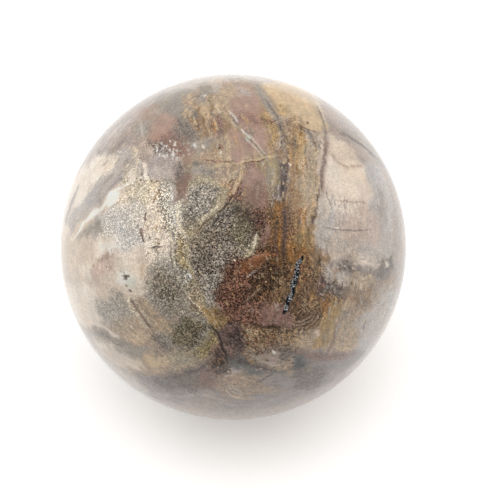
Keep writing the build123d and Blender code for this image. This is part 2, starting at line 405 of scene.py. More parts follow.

# Upper right: golden streaks, the second vein and the dark arc over the peach field, a painted reflection's
# edge
UPPER_RIGHT = [
    Patch("bright gold", "golden_tan", 1.2, [(292, 98), (314, 102), (323, 122), (312, 130), (294, 122)]),
    Oval("brown on the gold", "gold_fibre", 1.2, (284, 112), 6, 5),
    Patch("brown speckle", "streaked_brown", 1.1, [
        (285, 122), (302, 120), (306, 132), (292, 142), (287, 138),
    ]),
    Patch("golden streaks", "gold_fibre", 0.9, [
        (293, 134), (304, 134), (308, 170), (300, 192), (290, 188), (293, 160),
    ]),
    Patch("brown streaks", "streaked_brown", 0.8, [
        (290, 146), (296, 144), (299, 176), (299, 206), (289, 206),
    ]),
    Patch("tan streaks", "pale_tan", 1.0, [(304, 146), (321, 148), (319, 196), (309, 214), (302, 200)]),
    Oval("brown by the level vein", "streaked_brown", 0.9, (281, 154), 5, 6),
    Patch("slate brow", "dark_chert", 0.9, [(304, 131), (311, 132), (318, 138), (316, 143), (309, 142)]),
    Vein("dark brow", "dark_brown", 0.35, 0.3, [(299, 126), (309, 130), (319, 133)]),
    Vein("pale slope", "beige_opal", 0.4, 0.5, [(310, 93), (318, 103), (322, 113), (325, 122)]),
    Vein("dark slope", "dark_chert", 0.5, 0.4, [(317, 106), (322, 118), (326, 134), (327, 150)]),
    # Painted reflection: the dark arc, its heart and the grey over it are the edge of a reflection on the
    # polish
    Vein("shade over the arc", "grey_chert", 1.6, 1.2, [(340, 130), (354, 135), (368, 146), (384, 163)]),
    Vein("dark arc", "dark_chert", 1.1, 0.5, [(339, 133), (346, 135), (356, 140), (370, 152), (386, 169)]),
    Vein("dark arc, heart", "plum_jasper", 0.4, 0.3, [(348, 137), (360, 144), (374, 157)]),
    Patch("peach top", "beige_opal", 0.9, [
        (329, 137), (340, 138), (350, 145), (357, 156), (358, 164), (344, 165), (332, 156),
    ]),
    Patch("peach block", "peach_opal", 0.6, [
        (329, 158), (338, 165), (350, 169), (363, 166), (366, 186), (358, 204), (346, 202), (328, 186),
    ]),
    # Painted reflection, in part: the bright peach is cream stone with a soft reflection painted into it
    Patch("bright peach", "cream_opal", 1.1, [
        (330, 166), (344, 172), (358, 176), (357, 194), (346, 198), (332, 184),
    ]),
    Vein("tan over the peach", "tan_chert", 0.4, 0.7, [(330, 152), (338, 163), (350, 168), (362, 165)]),
    Patch("pale fan", "mauve_chert", 0.8, [
        (319, 198), (330, 190), (336, 212), (335, 238), (326, 248), (314, 242), (315, 218),
    ]),
    Oval("cream by the vein", "beige_opal", 1.2, (323, 211), 3, 9),
    Patch("tan under the fan", "streaked_brown", 1.0, [
        (313, 246), (326, 250), (331, 259), (325, 268), (321, 276), (314, 266),
    ]),
    Oval("brown under the fan", "brown_fibre", 0.8, (322, 271), 5, 5),
    Vein("second vein, haze", "mauve_jasper", 0.7, 0.8, [(326, 140), (325, 158), (323, 176), (319, 192)]),
    Vein("second vein", "dark_chert", 0.4, 0.35, [
        (326, 146), (323, 168), (320, 186), (316, 204), (313, 220), (311, 242),
    ]),
    Vein("second vein, core", "plum_jasper", 0.4, 0.25, [
        (321, 182), (316, 204), (313, 219), (311, 230), (310, 246),
    ]),
    Patch("cream in the fan", "cream_opal", 1.2, [
        (326, 192), (342, 197), (358, 202), (354, 212), (334, 213), (328, 206),
    ]),
    Oval("blue grey", "lavender_chert", 1.6, (381, 206), 4, 18),
    Oval("tan at the brow", "pale_tan", 0.9, (319, 134), 5, 5),
    Strokes("column streaks", (
        "ochre_fibre", "pale_tan", "dark_chert", "tan_chert", "gold_fibre",
    ), 0.22, 0.15, 3.0, 90, [
        (288, 128), (304, 124), (320, 146), (318, 190), (310, 228), (290, 232),
    ]),
    Strokes("speckle over the column", ("dark_brown", "golden_tan", "ochre_fibre"), 0.22, 0.1, 0.5, 50, [
        (286, 116), (308, 116), (312, 134), (300, 150), (290, 176), (288, 140),
    ]),
    Strokes("fan lines", ("beige_opal", "grey_chert", "mauve_chert", "pale_taupe"), 0.18, 0.12, 2.0, 90, [
        (318, 192), (332, 188), (344, 206), (342, 250), (334, 260), (316, 252), (313, 220),
    ]),
    Strokes("right lines", ("beige_opal", "taupe_chert", "pale_taupe"), 0.2, 0.2, 2.0, 40, [
        (336, 204), (370, 206), (384, 240), (376, 258), (340, 258),
    ]),
    Vein("thin line", "dark_chert", 0.2, 0.15, [(326, 190), (328, 199), (331, 208)]),
    Vein("pink line", "pink_jasper", 0.16, 0.2, [(336, 200), (350, 202), (367, 203)]),
    Vein("level line", "dark_chert", 0.2, 0.15, [
        (322, 227), (330, 229), (338, 229), (350, 230), (371, 230.5),
    ]),
    Vein("lower level line", "grey_chert", 0.24, 0.15, [(318, 238), (330, 243), (344, 244)]),
]

# Left: the jagged white vein, grey under it, sand, pink, and the halo of the vugs
LEFT = [
    Patch("grey under the jagged vein", "grey_chert", 0.8, [
        (86, 227), (98, 220), (108, 220), (108, 230), (94, 235), (80, 241), (78, 236),
    ]),
    Patch("grey sand", "pale_sand", 0.7, [
        (106, 206), (120, 202), (140, 206), (144, 228), (136, 246), (114, 244), (104, 230),
    ]),
    Patch("pink strip", "pink_sand", 0.7, [
        (158, 186), (152, 196), (148, 208), (144, 222), (144, 244), (146, 262), (170, 260), (166, 230),
        (162, 208),
    ]),
    Patch("sparkling sand", "sparkling_sand", 0.6, [
        (159, 181), (168, 183), (169, 204), (171, 230), (163, 230), (160, 210),
    ]),
    Patch("pale by the lobe", "cream_sand", 0.8, [(171, 205), (181, 204), (180, 213), (174, 216)]),
    Patch("cream", "cream_opal", 0.8, [
        (94, 246), (104, 238), (122, 239), (128, 250), (112, 256), (96, 256),
    ]),
    Oval("bright limb cream", "white_quartz_and_glint", 1.4, (110, 247), 9, 4),
    Patch("pink tint", "pink_opal", 1.2, [
        (91, 276), (97, 262), (105, 254), (118, 256), (117, 264), (106, 270), (98, 280), (90, 284),
    ]),
    Oval("peach by the limb", "cream_opal", 1.5, (86, 267), 6, 9),
    Oval("red in the pink", "pink_jasper", 1.0, (106, 258), 6, 2.5, 10),
    Patch("mauve beige", "beige_opal", 1.4, [(134, 252), (147, 250), (148, 268), (134, 268)]),
    Patch("bluish", "pale_sand", 1.1, [(118, 242), (131, 244), (130, 254), (119, 254)]),
    Patch("cream round the vugs", "cream_opal", 1.3, [
        (116, 258), (132, 250), (140, 256), (140, 284), (132, 294), (120, 290), (112, 276),
    ]),
    Oval("halo", "white_quartz_and_glint", 0.8, (125, 278), 8, 9),
    Oval("lower halo", "pale_green_and_glint", 0.7, (132, 283), 5, 6),
    Vein("orange sliver", "golden_tan", 0.4, 0.35, [(142, 265), (142, 273), (140, 280)]),
    Vein("jagged vein, glow", "beige_opal", 2.2, 1.0, [
        (128, 186), (114, 193), (104, 207), (90, 217), (81, 228), (72, 240),
    ]),
    Vein("jagged vein", "white_quartz_and_glint", 0.7, 0.25, [
        (133, 181), (123, 187), (114, 192), (107, 200), (102, 208), (94, 213), (88, 219), (83, 223),
        (80, 231), (72, 240),
    ]),
    Patch("white knot", "white_quartz_and_glint", 0.35, [
        (106, 196), (112, 190), (120, 192), (118, 199), (113, 203), (108, 207),
    ]),
    Patch("low white knot", "white_quartz_and_glint", 0.35, [(85, 222), (90, 213), (98, 209), (99, 214), (92, 218)]),
    Oval("grey in the strip", "soft_sand", 0.8, (165, 182), 5, 5),
    Strokes("strip specks", ("ochre_fibre", "dark_brown", "golden_tan"), 0.26, 0.1, 0.4, 36, [
        (152, 190), (160, 188), (166, 230), (166, 256), (148, 256), (145, 226),
    ]),
    Strokes("sand specks", ("white_quartz_and_glint", "dark_chert", "grey_chert"), 0.24, 0.1, 0.3, 50, [
        (112, 206), (160, 180), (178, 200), (184, 246), (150, 246), (114, 240),
    ]),
    # Painted glints: the white strokes here stand for light caught on quartz in the sand, the dark ones are
    # specks of the stone
    Strokes("sparkles", (
        "crystal_white_and_glint", "black_seam", "white_quartz_and_glint", "dark_brown",
    ), 0.22, 0.08, 0.3, 60, [
        (161, 184), (168, 188), (176, 210), (184, 246), (190, 290), (182, 286), (174, 254), (166, 220),
    ]),
    Strokes("cream specks", ("dark_brown", "ochre_fibre"), 0.24, 0.1, 0.3, 22, [
        (130, 176), (160, 180), (160, 190), (136, 190),
    ]),
    Strokes("limb specks", ("rose_jasper", "cream_opal"), 0.26, 0.14, 0.3, 40, [
        (92, 262), (112, 250), (116, 266), (98, 278), (86, 280),
    ]),
]

# Middle: the sandy lobes with their cream rims, rust and chocolate between them and the ochre
MIDDLE = [
    Patch("speckled edge", "sparkling_sand", 0.9, [(170, 226), (184, 232), (187, 246), (176, 248)]),
    Patch("low speckled edge", "grey_sand", 0.9, [
        (174, 244), (187, 244), (188, 262), (194, 280), (186, 290), (179, 280), (173, 260),
    ]),
    Patch("low edge", "warm_sand", 0.9, [(186, 284), (196, 280), (206, 302), (204, 318), (194, 308)]),
    Patch("gold in the edge", "gold_sand", 1.4, [
        (177, 244), (185, 246), (185, 260), (180, 264), (176, 256),
    ]),
    Patch("upper lobe, rim", "rim_sand", 0.7, [
        (185, 204), (191, 186), (203, 177), (220, 180), (227, 192), (215, 212), (198, 228), (185, 227),
    ]),
    Vein("green top of the rim", "rim_sand", 0.7, 0.5, [(190, 186), (198, 180), (208, 179), (218, 184)]),
    Patch("upper lobe", "grey_sand", 0.7, [
        (185, 206), (191, 189), (203, 182), (217, 185), (221, 193), (212, 208), (198, 222), (184, 222),
    ]),
    Patch("big lobe", "dark_sand", 0.8, [
        (218, 212), (230, 203), (244, 204), (252, 216), (254, 234), (250, 250), (240, 262), (224, 268),
        (217, 288), (204, 294), (194, 278), (190, 258), (192, 240), (204, 224),
    ]),
    Patch("pale in the lobe", "lobe_sand", 1.6, [
        (194, 236), (210, 224), (216, 232), (208, 250), (206, 262), (196, 258),
    ]),
    Patch("low pale in the lobe", "grey_sand", 1.2, [
        (218, 260), (224, 243), (231, 246), (229, 258), (222, 265),
    ]),
    Oval("right pale in the lobe", "grey_sand", 1.4, (246, 250), 4, 5, 30),
    Patch("dark in the lobe", "olive_sand", 1.4, [
        (230, 204), (250, 208), (254, 234), (245, 252), (233, 242),
    ]),
    Oval("black corner", "dark_brown", 1.2, (243, 212), 6, 9, 20),
    Patch("green in the lobe", "grey_sand", 1.0, [
        (200, 284), (218, 276), (222, 288), (212, 300), (205, 300),
    ]),
    Vein("cream rim", "rim_sand", 1.1, 0.35, [(228, 188), (223, 201), (215, 212), (203, 224), (191, 237)]),
    Vein("pale in the cream rim", "cream_sand", 0.3, 0.25, [(219, 206), (211, 212), (200, 224)]),
    Vein("dark rim", "dark_brown", 0.3, 0.25, [(230, 203), (218, 213), (208, 221), (197, 232)]),
    Vein("left rim", "cream_sand", 0.6, 0.3, [(182, 199), (179, 207), (178, 216), (180, 227), (188, 238)]),
    Vein("low rim", "rim_sand", 0.6, 0.3, [
        (190, 238), (187, 252), (189, 266), (195, 282), (203, 297), (206, 312), (212, 330),
    ]),
    Vein("outer rim", "cream_sand", 0.3, 0.2, [
        (166, 224), (172, 244), (173, 260), (176, 275), (183, 289), (192, 301), (202, 309), (210, 326),
    ]),
    Vein("shade of the rim", "dark_brown", 0.22, 0.15, [
        (170, 244), (171, 260), (174, 276), (181, 290), (190, 302), (200, 311),
    ]),
    Patch("chocolate gap", "rust_jasper", 1.0, [
        (250, 207), (258, 207), (276, 209), (280, 222), (264, 228), (254, 230), (251, 218),
    ]),
    Patch("brown over the gap", "brown_fibre", 1.2, [(260, 206), (280, 204), (282, 226), (266, 222)]),
    Patch("mauve by the strip", "mauve_jasper", 0.7, [
        (265, 222), (270, 228), (270, 243), (264, 248), (262, 238),
    ]),
    Vein("right rim", "rim_sand", 1.0, 0.4, [(257, 235), (256, 241), (254, 247), (250, 253), (241, 260)]),
    Vein("pale in the right rim", "cream_sand", 0.3, 0.2, [(257, 233), (255.5, 241), (253.5, 249)]),
    Patch("ochre strip", "ochre_fibre", 0.9, [(271, 208), (286, 206), (287, 256), (273, 258)]),
    Vein("dark strip line", "plum_jasper", 0.5, 0.5, [(276, 222), (275, 240), (276, 258)]),
    Patch("rust", "rust_jasper", 1.0, [
        (224, 274), (234, 265), (246, 262), (254, 284), (250, 304), (242, 324), (228, 328), (217, 314),
        (219, 294),
    ]),
    Patch("red in the rust", "red_brown", 1.4, [
        (230, 272), (242, 268), (246, 284), (234, 296), (224, 296),
    ]),
    Patch("light rust", "red_brown", 1.0, [(217, 304), (230, 304), (232, 320), (222, 322)]),
    Patch("flame rust", "bright_rust", 0.7, [
        (242, 269), (248, 260), (258, 255), (272, 255), (262, 262), (254, 272),
    ]),
    Vein("salmon edge", "salmon_jasper", 0.5, 0.3, [(248, 260), (256, 256), (266, 255)]),
    Patch("black hollow", "heart_brown", 0.9, [
        (252, 278), (258, 270), (270, 267), (275, 275), (268, 284), (258, 287),
    ]),
    Vein("silver streak", "pale_taupe", 0.18, 0.12, [(247, 276), (252, 274), (256, 272)]),
    Patch("olive brown", "olive_brown", 0.9, [(279, 281), (288, 282), (286, 298), (280, 298)]),
    Patch("brown below the hollow", "brown_fibre", 1.0, [(264, 294), (280, 290), (284, 306), (264, 306)]),
    Patch("tan column", "pale_tan", 1.0, [(299, 178), (315, 178), (314, 200), (304, 208), (298, 204)]),
    Patch("brown beside the vein", "streaked_brown", 1.0, [(288, 196), (298, 196), (298, 216), (288, 216)]),
    Patch("ochre beside the vein", "brown_fibre", 1.0, [(287, 214), (294, 216), (296, 240), (287, 246)]),
    Patch("golden column", "gold_fibre", 1.2, [(296, 232), (310, 226), (316, 246), (304, 256), (292, 252)]),
    Patch("ochre low", "ochre_fibre", 1.2, [(286, 244), (298, 240), (313, 250), (308, 259), (290, 261)]),
    Vein("dark mauve line", "plum_jasper", 0.8, 0.6, [(284, 206), (285, 225), (284, 244), (283, 262)]),
    Patch("brown column", "olive_brown", 1.0, [
        (299, 274), (318, 270), (324, 296), (316, 316), (290, 322), (294, 294),
    ]),
    Oval("brown under the fissure", "heart_brown", 0.9, (299, 304), 6, 6),
    Patch("brown by the fissure", "brown_fibre", 1.0, [(296, 280), (304, 280), (302, 298), (292, 302)]),
    Oval("ochre by the rings", "ochre_fibre", 1.0, (314, 295), 5, 6),
    Patch("rust in the column", "brown_fibre", 1.0, [
        (302, 264), (316, 266), (320, 284), (308, 290), (300, 278),
    ]),
    Oval("shade of the lobe", "lobe_sand", 0.9, (188, 220), 4, 5),
    Oval("shade in the lobe", "lobe_sand", 0.8, (197, 219), 4, 4),
    Oval("brown by the vein", "deep_brown", 0.7, (277, 220), 3, 6),
    Oval("rust shade", "rust_jasper", 0.8, (239, 283), 4, 4),
    Oval("shade of the fissure", "deep_brown", 0.8, (306, 265), 3, 4),
    Oval("shade of the edge", "lobe_sand", 0.9, (201, 289), 4, 5),
    Oval("plum shade", "plum_jasper", 0.8, (282, 307), 3, 3),
    Strokes("brown strokes", (
        "dark_brown", "gold_fibre", "heart_brown", "bright_rust",
    ), 0.2, 0.12, 1.4, 110, [
        (284, 246), (312, 246), (324, 270), (324, 312), (286, 320), (280, 270),
    ]),
    Strokes("column specks", (
        "black_seam", "golden_tan", "dark_brown", "ochre_fibre",
    ), 0.2, 0.1, 0.35, 90, [
        (286, 256), (316, 258), (326, 290), (322, 316), (292, 322), (286, 290),
    ]),
    Strokes("heart specks", (
        "black_seam", "gold_fibre", "dark_brown", "tan_chert", "rust_jasper",
    ), 0.22, 0.1, 0.4, 220, [
        (246, 258), (284, 240), (290, 290), (284, 328), (236, 328), (222, 296), (236, 268),
    ]),
    Strokes("rust specks", ("black_seam", "salmon_jasper", "dark_brown"), 0.2, 0.08, 0.3, 90, [
        (218, 278), (244, 264), (252, 290), (240, 324), (216, 318),
    ]),
    Strokes("big lobe specks", (
        "cream_sand", "black_seam", "rim_sand", "dark_brown",
    ), 0.22, 0.08, 0.3, 110, [
        (190, 184), (220, 180), (252, 210), (252, 250), (224, 268), (214, 294), (196, 284), (188, 244),
    ]),
    # Painted glints: the white strokes stand for light caught on quartz, the black ones are specks of the
    # stone
    Strokes("white sparkles", ("crystal_white_and_glint", "white_quartz_and_glint", "black_seam"), 0.26, 0.08, 0.35, 26, [
        (183, 270), (189, 270), (194, 288), (188, 292),
    ]),
    Oval("gold fleck", "gold_fibre", 0.15, (257.5, 288.5), 1.5, 1, 20),
    Vein("tan diagonal", "tan_chert", 0.24, 0.15, [(262, 287), (252, 295), (244, 303)]),
]

# Right and lower right: scallops, mauve and grey bands, the golden strip beside the mauve line
LOWER_RIGHT = [
    Patch("pale over the band", "pale_taupe", 1.0, [
        (334, 240), (352, 240), (380, 248), (378, 255), (350, 255), (336, 256),
    ]),
    Patch("grey band", "lavender_chert", 1.0, [
        (332, 259), (350, 262), (364, 268), (380, 269), (391, 259), (394, 270), (378, 281), (352, 276),
        (334, 271),
    ]),
    Vein("dark in the band", "dark_chert", 1.2, 1.0, [(333, 264), (348, 268), (366, 274), (386, 273)]),
    Patch("yellow cream", "beige_opal", 0.9, [(356, 258), (374, 256), (373, 264), (362, 264)]),
    Oval("cream in the band", "cream_opal", 0.9, (365, 259), 4, 2, -15),
    Patch("dark end", "dark_chert", 1.0, [(380, 260), (391, 258), (394, 268), (386, 277), (378, 275)]),
    Oval("speck in the end", "cream_opal", 0.3, (387, 264), 1.5, 3, 30),
    Patch("upper scallop", "pale_taupe", 0.6, [(326, 266), (334, 263), (336, 272), (331, 279), (324, 276)]),
    Oval("tan by the fan", "streaked_brown", 0.7, (334, 270), 5, 4),
    Patch("lower scallop", "pale_taupe", 0.6, [(337, 273), (349, 273), (354, 281), (348, 287), (338, 284)]),
    Patch("pale beside", "pale_tan", 1.2, [(350, 277), (374, 279), (374, 287), (352, 289)]),
    Patch("dark cluster", "deep_chert", 0.8, [
        (320, 277), (325, 280), (331, 285), (338, 288), (332, 297), (320, 293),
    ]),
    Patch("mauve under", "dark_chert", 0.7, [(328, 284), (348, 290), (346, 299), (332, 303), (322, 300)]),
    Patch("brown under", "brown_fibre", 0.9, [(322, 293), (334, 295), (336, 305), (323, 307)]),
    Vein("upper scallop edge", "plum_jasper", 0.35, 0.2, [(320, 274), (324, 281), (331, 284), (336, 280)]),
    Vein("lower scallop edge", "plum_jasper", 0.22, 0.2, [
        (334, 285), (341, 289.5), (349, 288), (354, 282),
    ]),
    Vein("streak beside", "dark_chert", 0.7, 0.5, [(343, 289), (356, 291), (374, 290)]),
    Patch("olive tan", "streaked_brown", 1.2, [(346, 291), (368, 289), (368, 302), (348, 304)]),
    Patch("orange strip", "ochre_fibre", 0.9, [(320, 304), (341, 302), (338, 316), (332, 324), (319, 326)]),
    Patch("golden strip", "gold_fibre", 0.8, [(331, 304), (342, 304), (340, 316), (330, 316)]),
    Patch("tan strip", "gold_fibre", 0.9, [
        (322, 318), (334, 320), (331, 344), (324, 352), (312, 350), (316, 338),
    ]),
    Patch("pale loops", "pale_tan", 0.6, [
        (342, 308), (347, 304), (348, 322), (344, 334), (338, 336), (340, 322),
    ]),
    Oval("slate loop", "slate_chert", 0.7, (347, 315), 2.5, 5),
    Patch("gold tan", "pale_tan", 1.2, [(346, 320), (357, 318), (356, 346), (338, 352), (334, 346)]),
    Patch("lilac limb", "mauve_chert", 1.1, [(358, 318), (378, 312), (372, 346), (358, 354)]),
    Patch("brown under the rings", "deep_brown", 0.9, [
        (290, 304), (300, 309), (316, 309), (319, 317), (308, 327), (294, 331),
    ]),
    Patch("pale under the rings", "pale_tan", 0.9, [
        (292, 336), (308, 331), (316, 338), (304, 349), (290, 346),
    ]),
    Patch("low mauve band", "lavender_chert", 0.9, [
        (290, 350), (312, 352), (334, 352), (366, 350), (352, 366), (304, 368),
    ]),
    Vein("plum in the band", "mauve_jasper", 1.6, 1.0, [(288, 350), (308, 356), (330, 357), (356, 353)]),
    Vein("mauve line", "mauve_jasper", 0.6, 0.5, [(338, 317), (335, 332), (331, 346), (326, 358)]),
    Patch("slate", "slate_chert", 0.8, [(296, 357), (305, 358), (304, 373), (296, 380), (292, 367)]),
    Oval("heart of the slate", "blue_black", 1.4, (300, 366), 2, 5, 15),
    Patch("grey low", "dark_chert", 1.2, [(302, 370), (330, 366), (320, 386), (300, 390), (290, 380)]),
    Oval("tan at the right", "tan_chert", 1.0, (374, 294), 5, 5),
    Oval("brown by the scallops", "red_brown", 0.8, (322, 284), 4, 4),
    Strokes("scallop strokes", ("beige_opal", "plum_jasper", "taupe_chert"), 0.18, 0.1, 1.0, 50, [
        (318, 256), (350, 262), (352, 288), (332, 292), (318, 284),
    ]),
    Strokes("cluster specks", (
        "plum_jasper", "dark_brown", "taupe_chert", "black_seam",
    ), 0.2, 0.1, 0.6, 60, [
        (316, 270), (326, 282), (348, 290), (338, 304), (318, 304),
    ]),
    Strokes("band strokes", ("beige_opal", "taupe_chert", "grey_chert"), 0.22, 0.2, 1.2, 36, [
        (340, 246), (384, 250), (390, 276), (370, 296), (346, 292),
    ]),
    Strokes("lower right strokes", (
        "grey_chert", "golden_tan", "pale_taupe", "tan_chert", "dark_chert",
    ), 0.22, 0.18, 1.8, 70, [
        (330, 300), (350, 290), (380, 284), (376, 326), (350, 350), (324, 350),
    ]),
]

# Lower left: grey and dark lobes, the brown crack, pale edge and dark band along the limb
LOWER_LEFT = [
    Patch("lower limb cream", "cream_opal", 1.0, [
        (62, 286), (92, 287), (96, 306), (104, 322), (88, 324), (70, 312),
    ]),
    Patch("grey lobe", "mist_sand", 1.5, [
        (94, 306), (103, 297), (118, 297), (130, 302), (133, 313), (120, 324), (104, 320),
    ]),
    Patch("heart of the grey", "soft_sand", 2.0, [(102, 304), (116, 299), (122, 308), (112, 316)]),
    Patch("sand under it", "pale_tan", 1.4, [(110, 322), (130, 318), (142, 326), (142, 337), (122, 337)]),
    Patch("dark lobe", "soft_sand", 1.4, [
        (150, 280), (158, 267), (167, 263), (175, 271), (179, 282), (186, 295), (178, 309), (160, 311),
        (150, 301), (148, 288),
    ]),
    Patch("heart of the lobe", "lobe_sand", 1.6, [
        (158, 276), (171, 274), (181, 292), (174, 304), (160, 302), (154, 290),
    ]),
    Patch("golden between", "tan_chert", 1.2, [(150, 311), (160, 316), (174, 316), (170, 322), (154, 322)]),
    Patch("low lobe", "olive_sand", 1.2, [
        (176, 318), (188, 312), (197, 319), (203, 330), (201, 342), (187, 348), (172, 340), (167, 326),
    ]),
    Patch("yellow streaks", "pale_tan", 1.0, [(150, 318), (166, 324), (170, 334), (160, 334), (152, 328)]),
    Patch("tan by the crack", "pale_tan", 1.0, [
        (138, 298), (147, 302), (152, 318), (146, 320), (138, 308),
    ]),
    Patch("tan under the crack", "pale_tan", 1.0, [(133, 320), (146, 322), (150, 336), (136, 340)]),
    Vein("brown crack, glow", "cream_sand", 1.8, 0.7, [(128, 298), (136, 309), (143, 319), (150, 327)]),
    Vein("brown crack", "dark_chert", 0.9, 0.5, [(131, 299), (137, 309), (143, 318), (150, 327)]),
    Vein("core of the crack", "mauve_jasper", 0.4, 0.3, [(132, 300), (138, 310), (144, 319), (152, 329)]),
    Vein("pale edge", "cream_opal", 1.1, 0.5, [
        (76, 319), (90, 324), (100, 326), (107, 330), (114, 335), (120, 337),
    ]),
    Patch("dark band", "grey_chert", 1.0, [
        (93, 329), (101, 330), (109, 336), (119, 341), (136, 345), (150, 350), (148, 358), (136, 356),
        (112, 345), (101, 338),
    ]),
    Vein("heart of the band", "dark_chert", 0.8, 0.8, [(98, 333), (106, 336), (114, 342), (124, 347)]),
    Patch("peach below", "beige_opal", 1.0, [
        (93, 338), (104, 342), (120, 351), (140, 362), (138, 371), (112, 362),
    ]),
    Oval("cream below", "cream_opal", 1.2, (100, 344), 6, 3, -40),
    Vein("grey streak", "grey_chert", 1.2, 1.0, [(114, 348), (128, 354), (146, 358)]),
    Vein("dark spot", "deep_chert", 1.8, 1.2, [(153, 334), (159, 342), (166, 348), (173, 353)]),
    Patch("orange tan", "golden_tan", 1.4, [(146, 356), (160, 357), (166, 364), (158, 369), (146, 364)]),
    Patch("speckled beige", "pale_tan", 1.0, [
        (166, 354), (190, 349), (208, 350), (204, 361), (184, 369), (166, 370),
    ]),
    Patch("pale in the beige", "rim_sand", 1.4, [(170, 355), (188, 352), (192, 360), (176, 364)]),
    Patch("yellow", "yellow_olive", 1.0, [
        (194, 350), (206, 342), (213, 334), (219, 344), (210, 352), (202, 358),
    ]),
    Oval("bright yellow", "gold_sand", 0.4, (215, 343), 2.5, 4),
    Patch("dark low band", "dark_chert", 1.2, [
        (150, 378), (168, 373), (188, 368), (208, 361), (222, 354), (228, 362), (216, 378), (200, 388),
        (176, 391), (156, 387),
    ]),
    Vein("heart of the low band", "plum_jasper", 0.8, 0.9, [
        (164, 378), (188, 373), (206, 366), (220, 358),
    ]),
    Patch("lilac low", "lavender_chert", 1.2, [
        (144, 390), (170, 394), (198, 391), (210, 396), (190, 402), (158, 400),
    ]),
    Patch("rose low", "mauve_jasper", 1.8, [(200, 374), (216, 370), (224, 378), (214, 386), (200, 386)]),
    Patch("pale low", "taupe_chert", 1.0, [(180, 402), (206, 398), (222, 402), (206, 411), (186, 408)]),
    Strokes("low specks", ("dark_chert", "rim_sand", "olive_sand"), 0.24, 0.12, 0.4, 90, [
        (150, 352), (206, 344), (214, 356), (190, 370), (160, 372),
    ]),
    Strokes("lower left specks", ("grey_chert", "cream_sand", "warm_sand"), 0.26, 0.15, 0.4, 70, [
        (88, 326), (130, 312), (150, 330), (150, 352), (112, 346),
    ]),
    Strokes("limb strokes", ("taupe_chert", "lavender_chert", "pale_taupe"), 0.4, 0.4, 4.0, 26, [
        (146, 392), (200, 394), (250, 398), (240, 408), (160, 402),
    ]),
    Strokes("low lobe specks", ("rim_sand", "black_seam", "dark_brown", "soft_sand"), 0.22, 0.1, 0.3, 90, [
        (148, 270), (172, 266), (186, 294), (208, 320), (206, 342), (172, 342), (156, 316),
    ]),
]

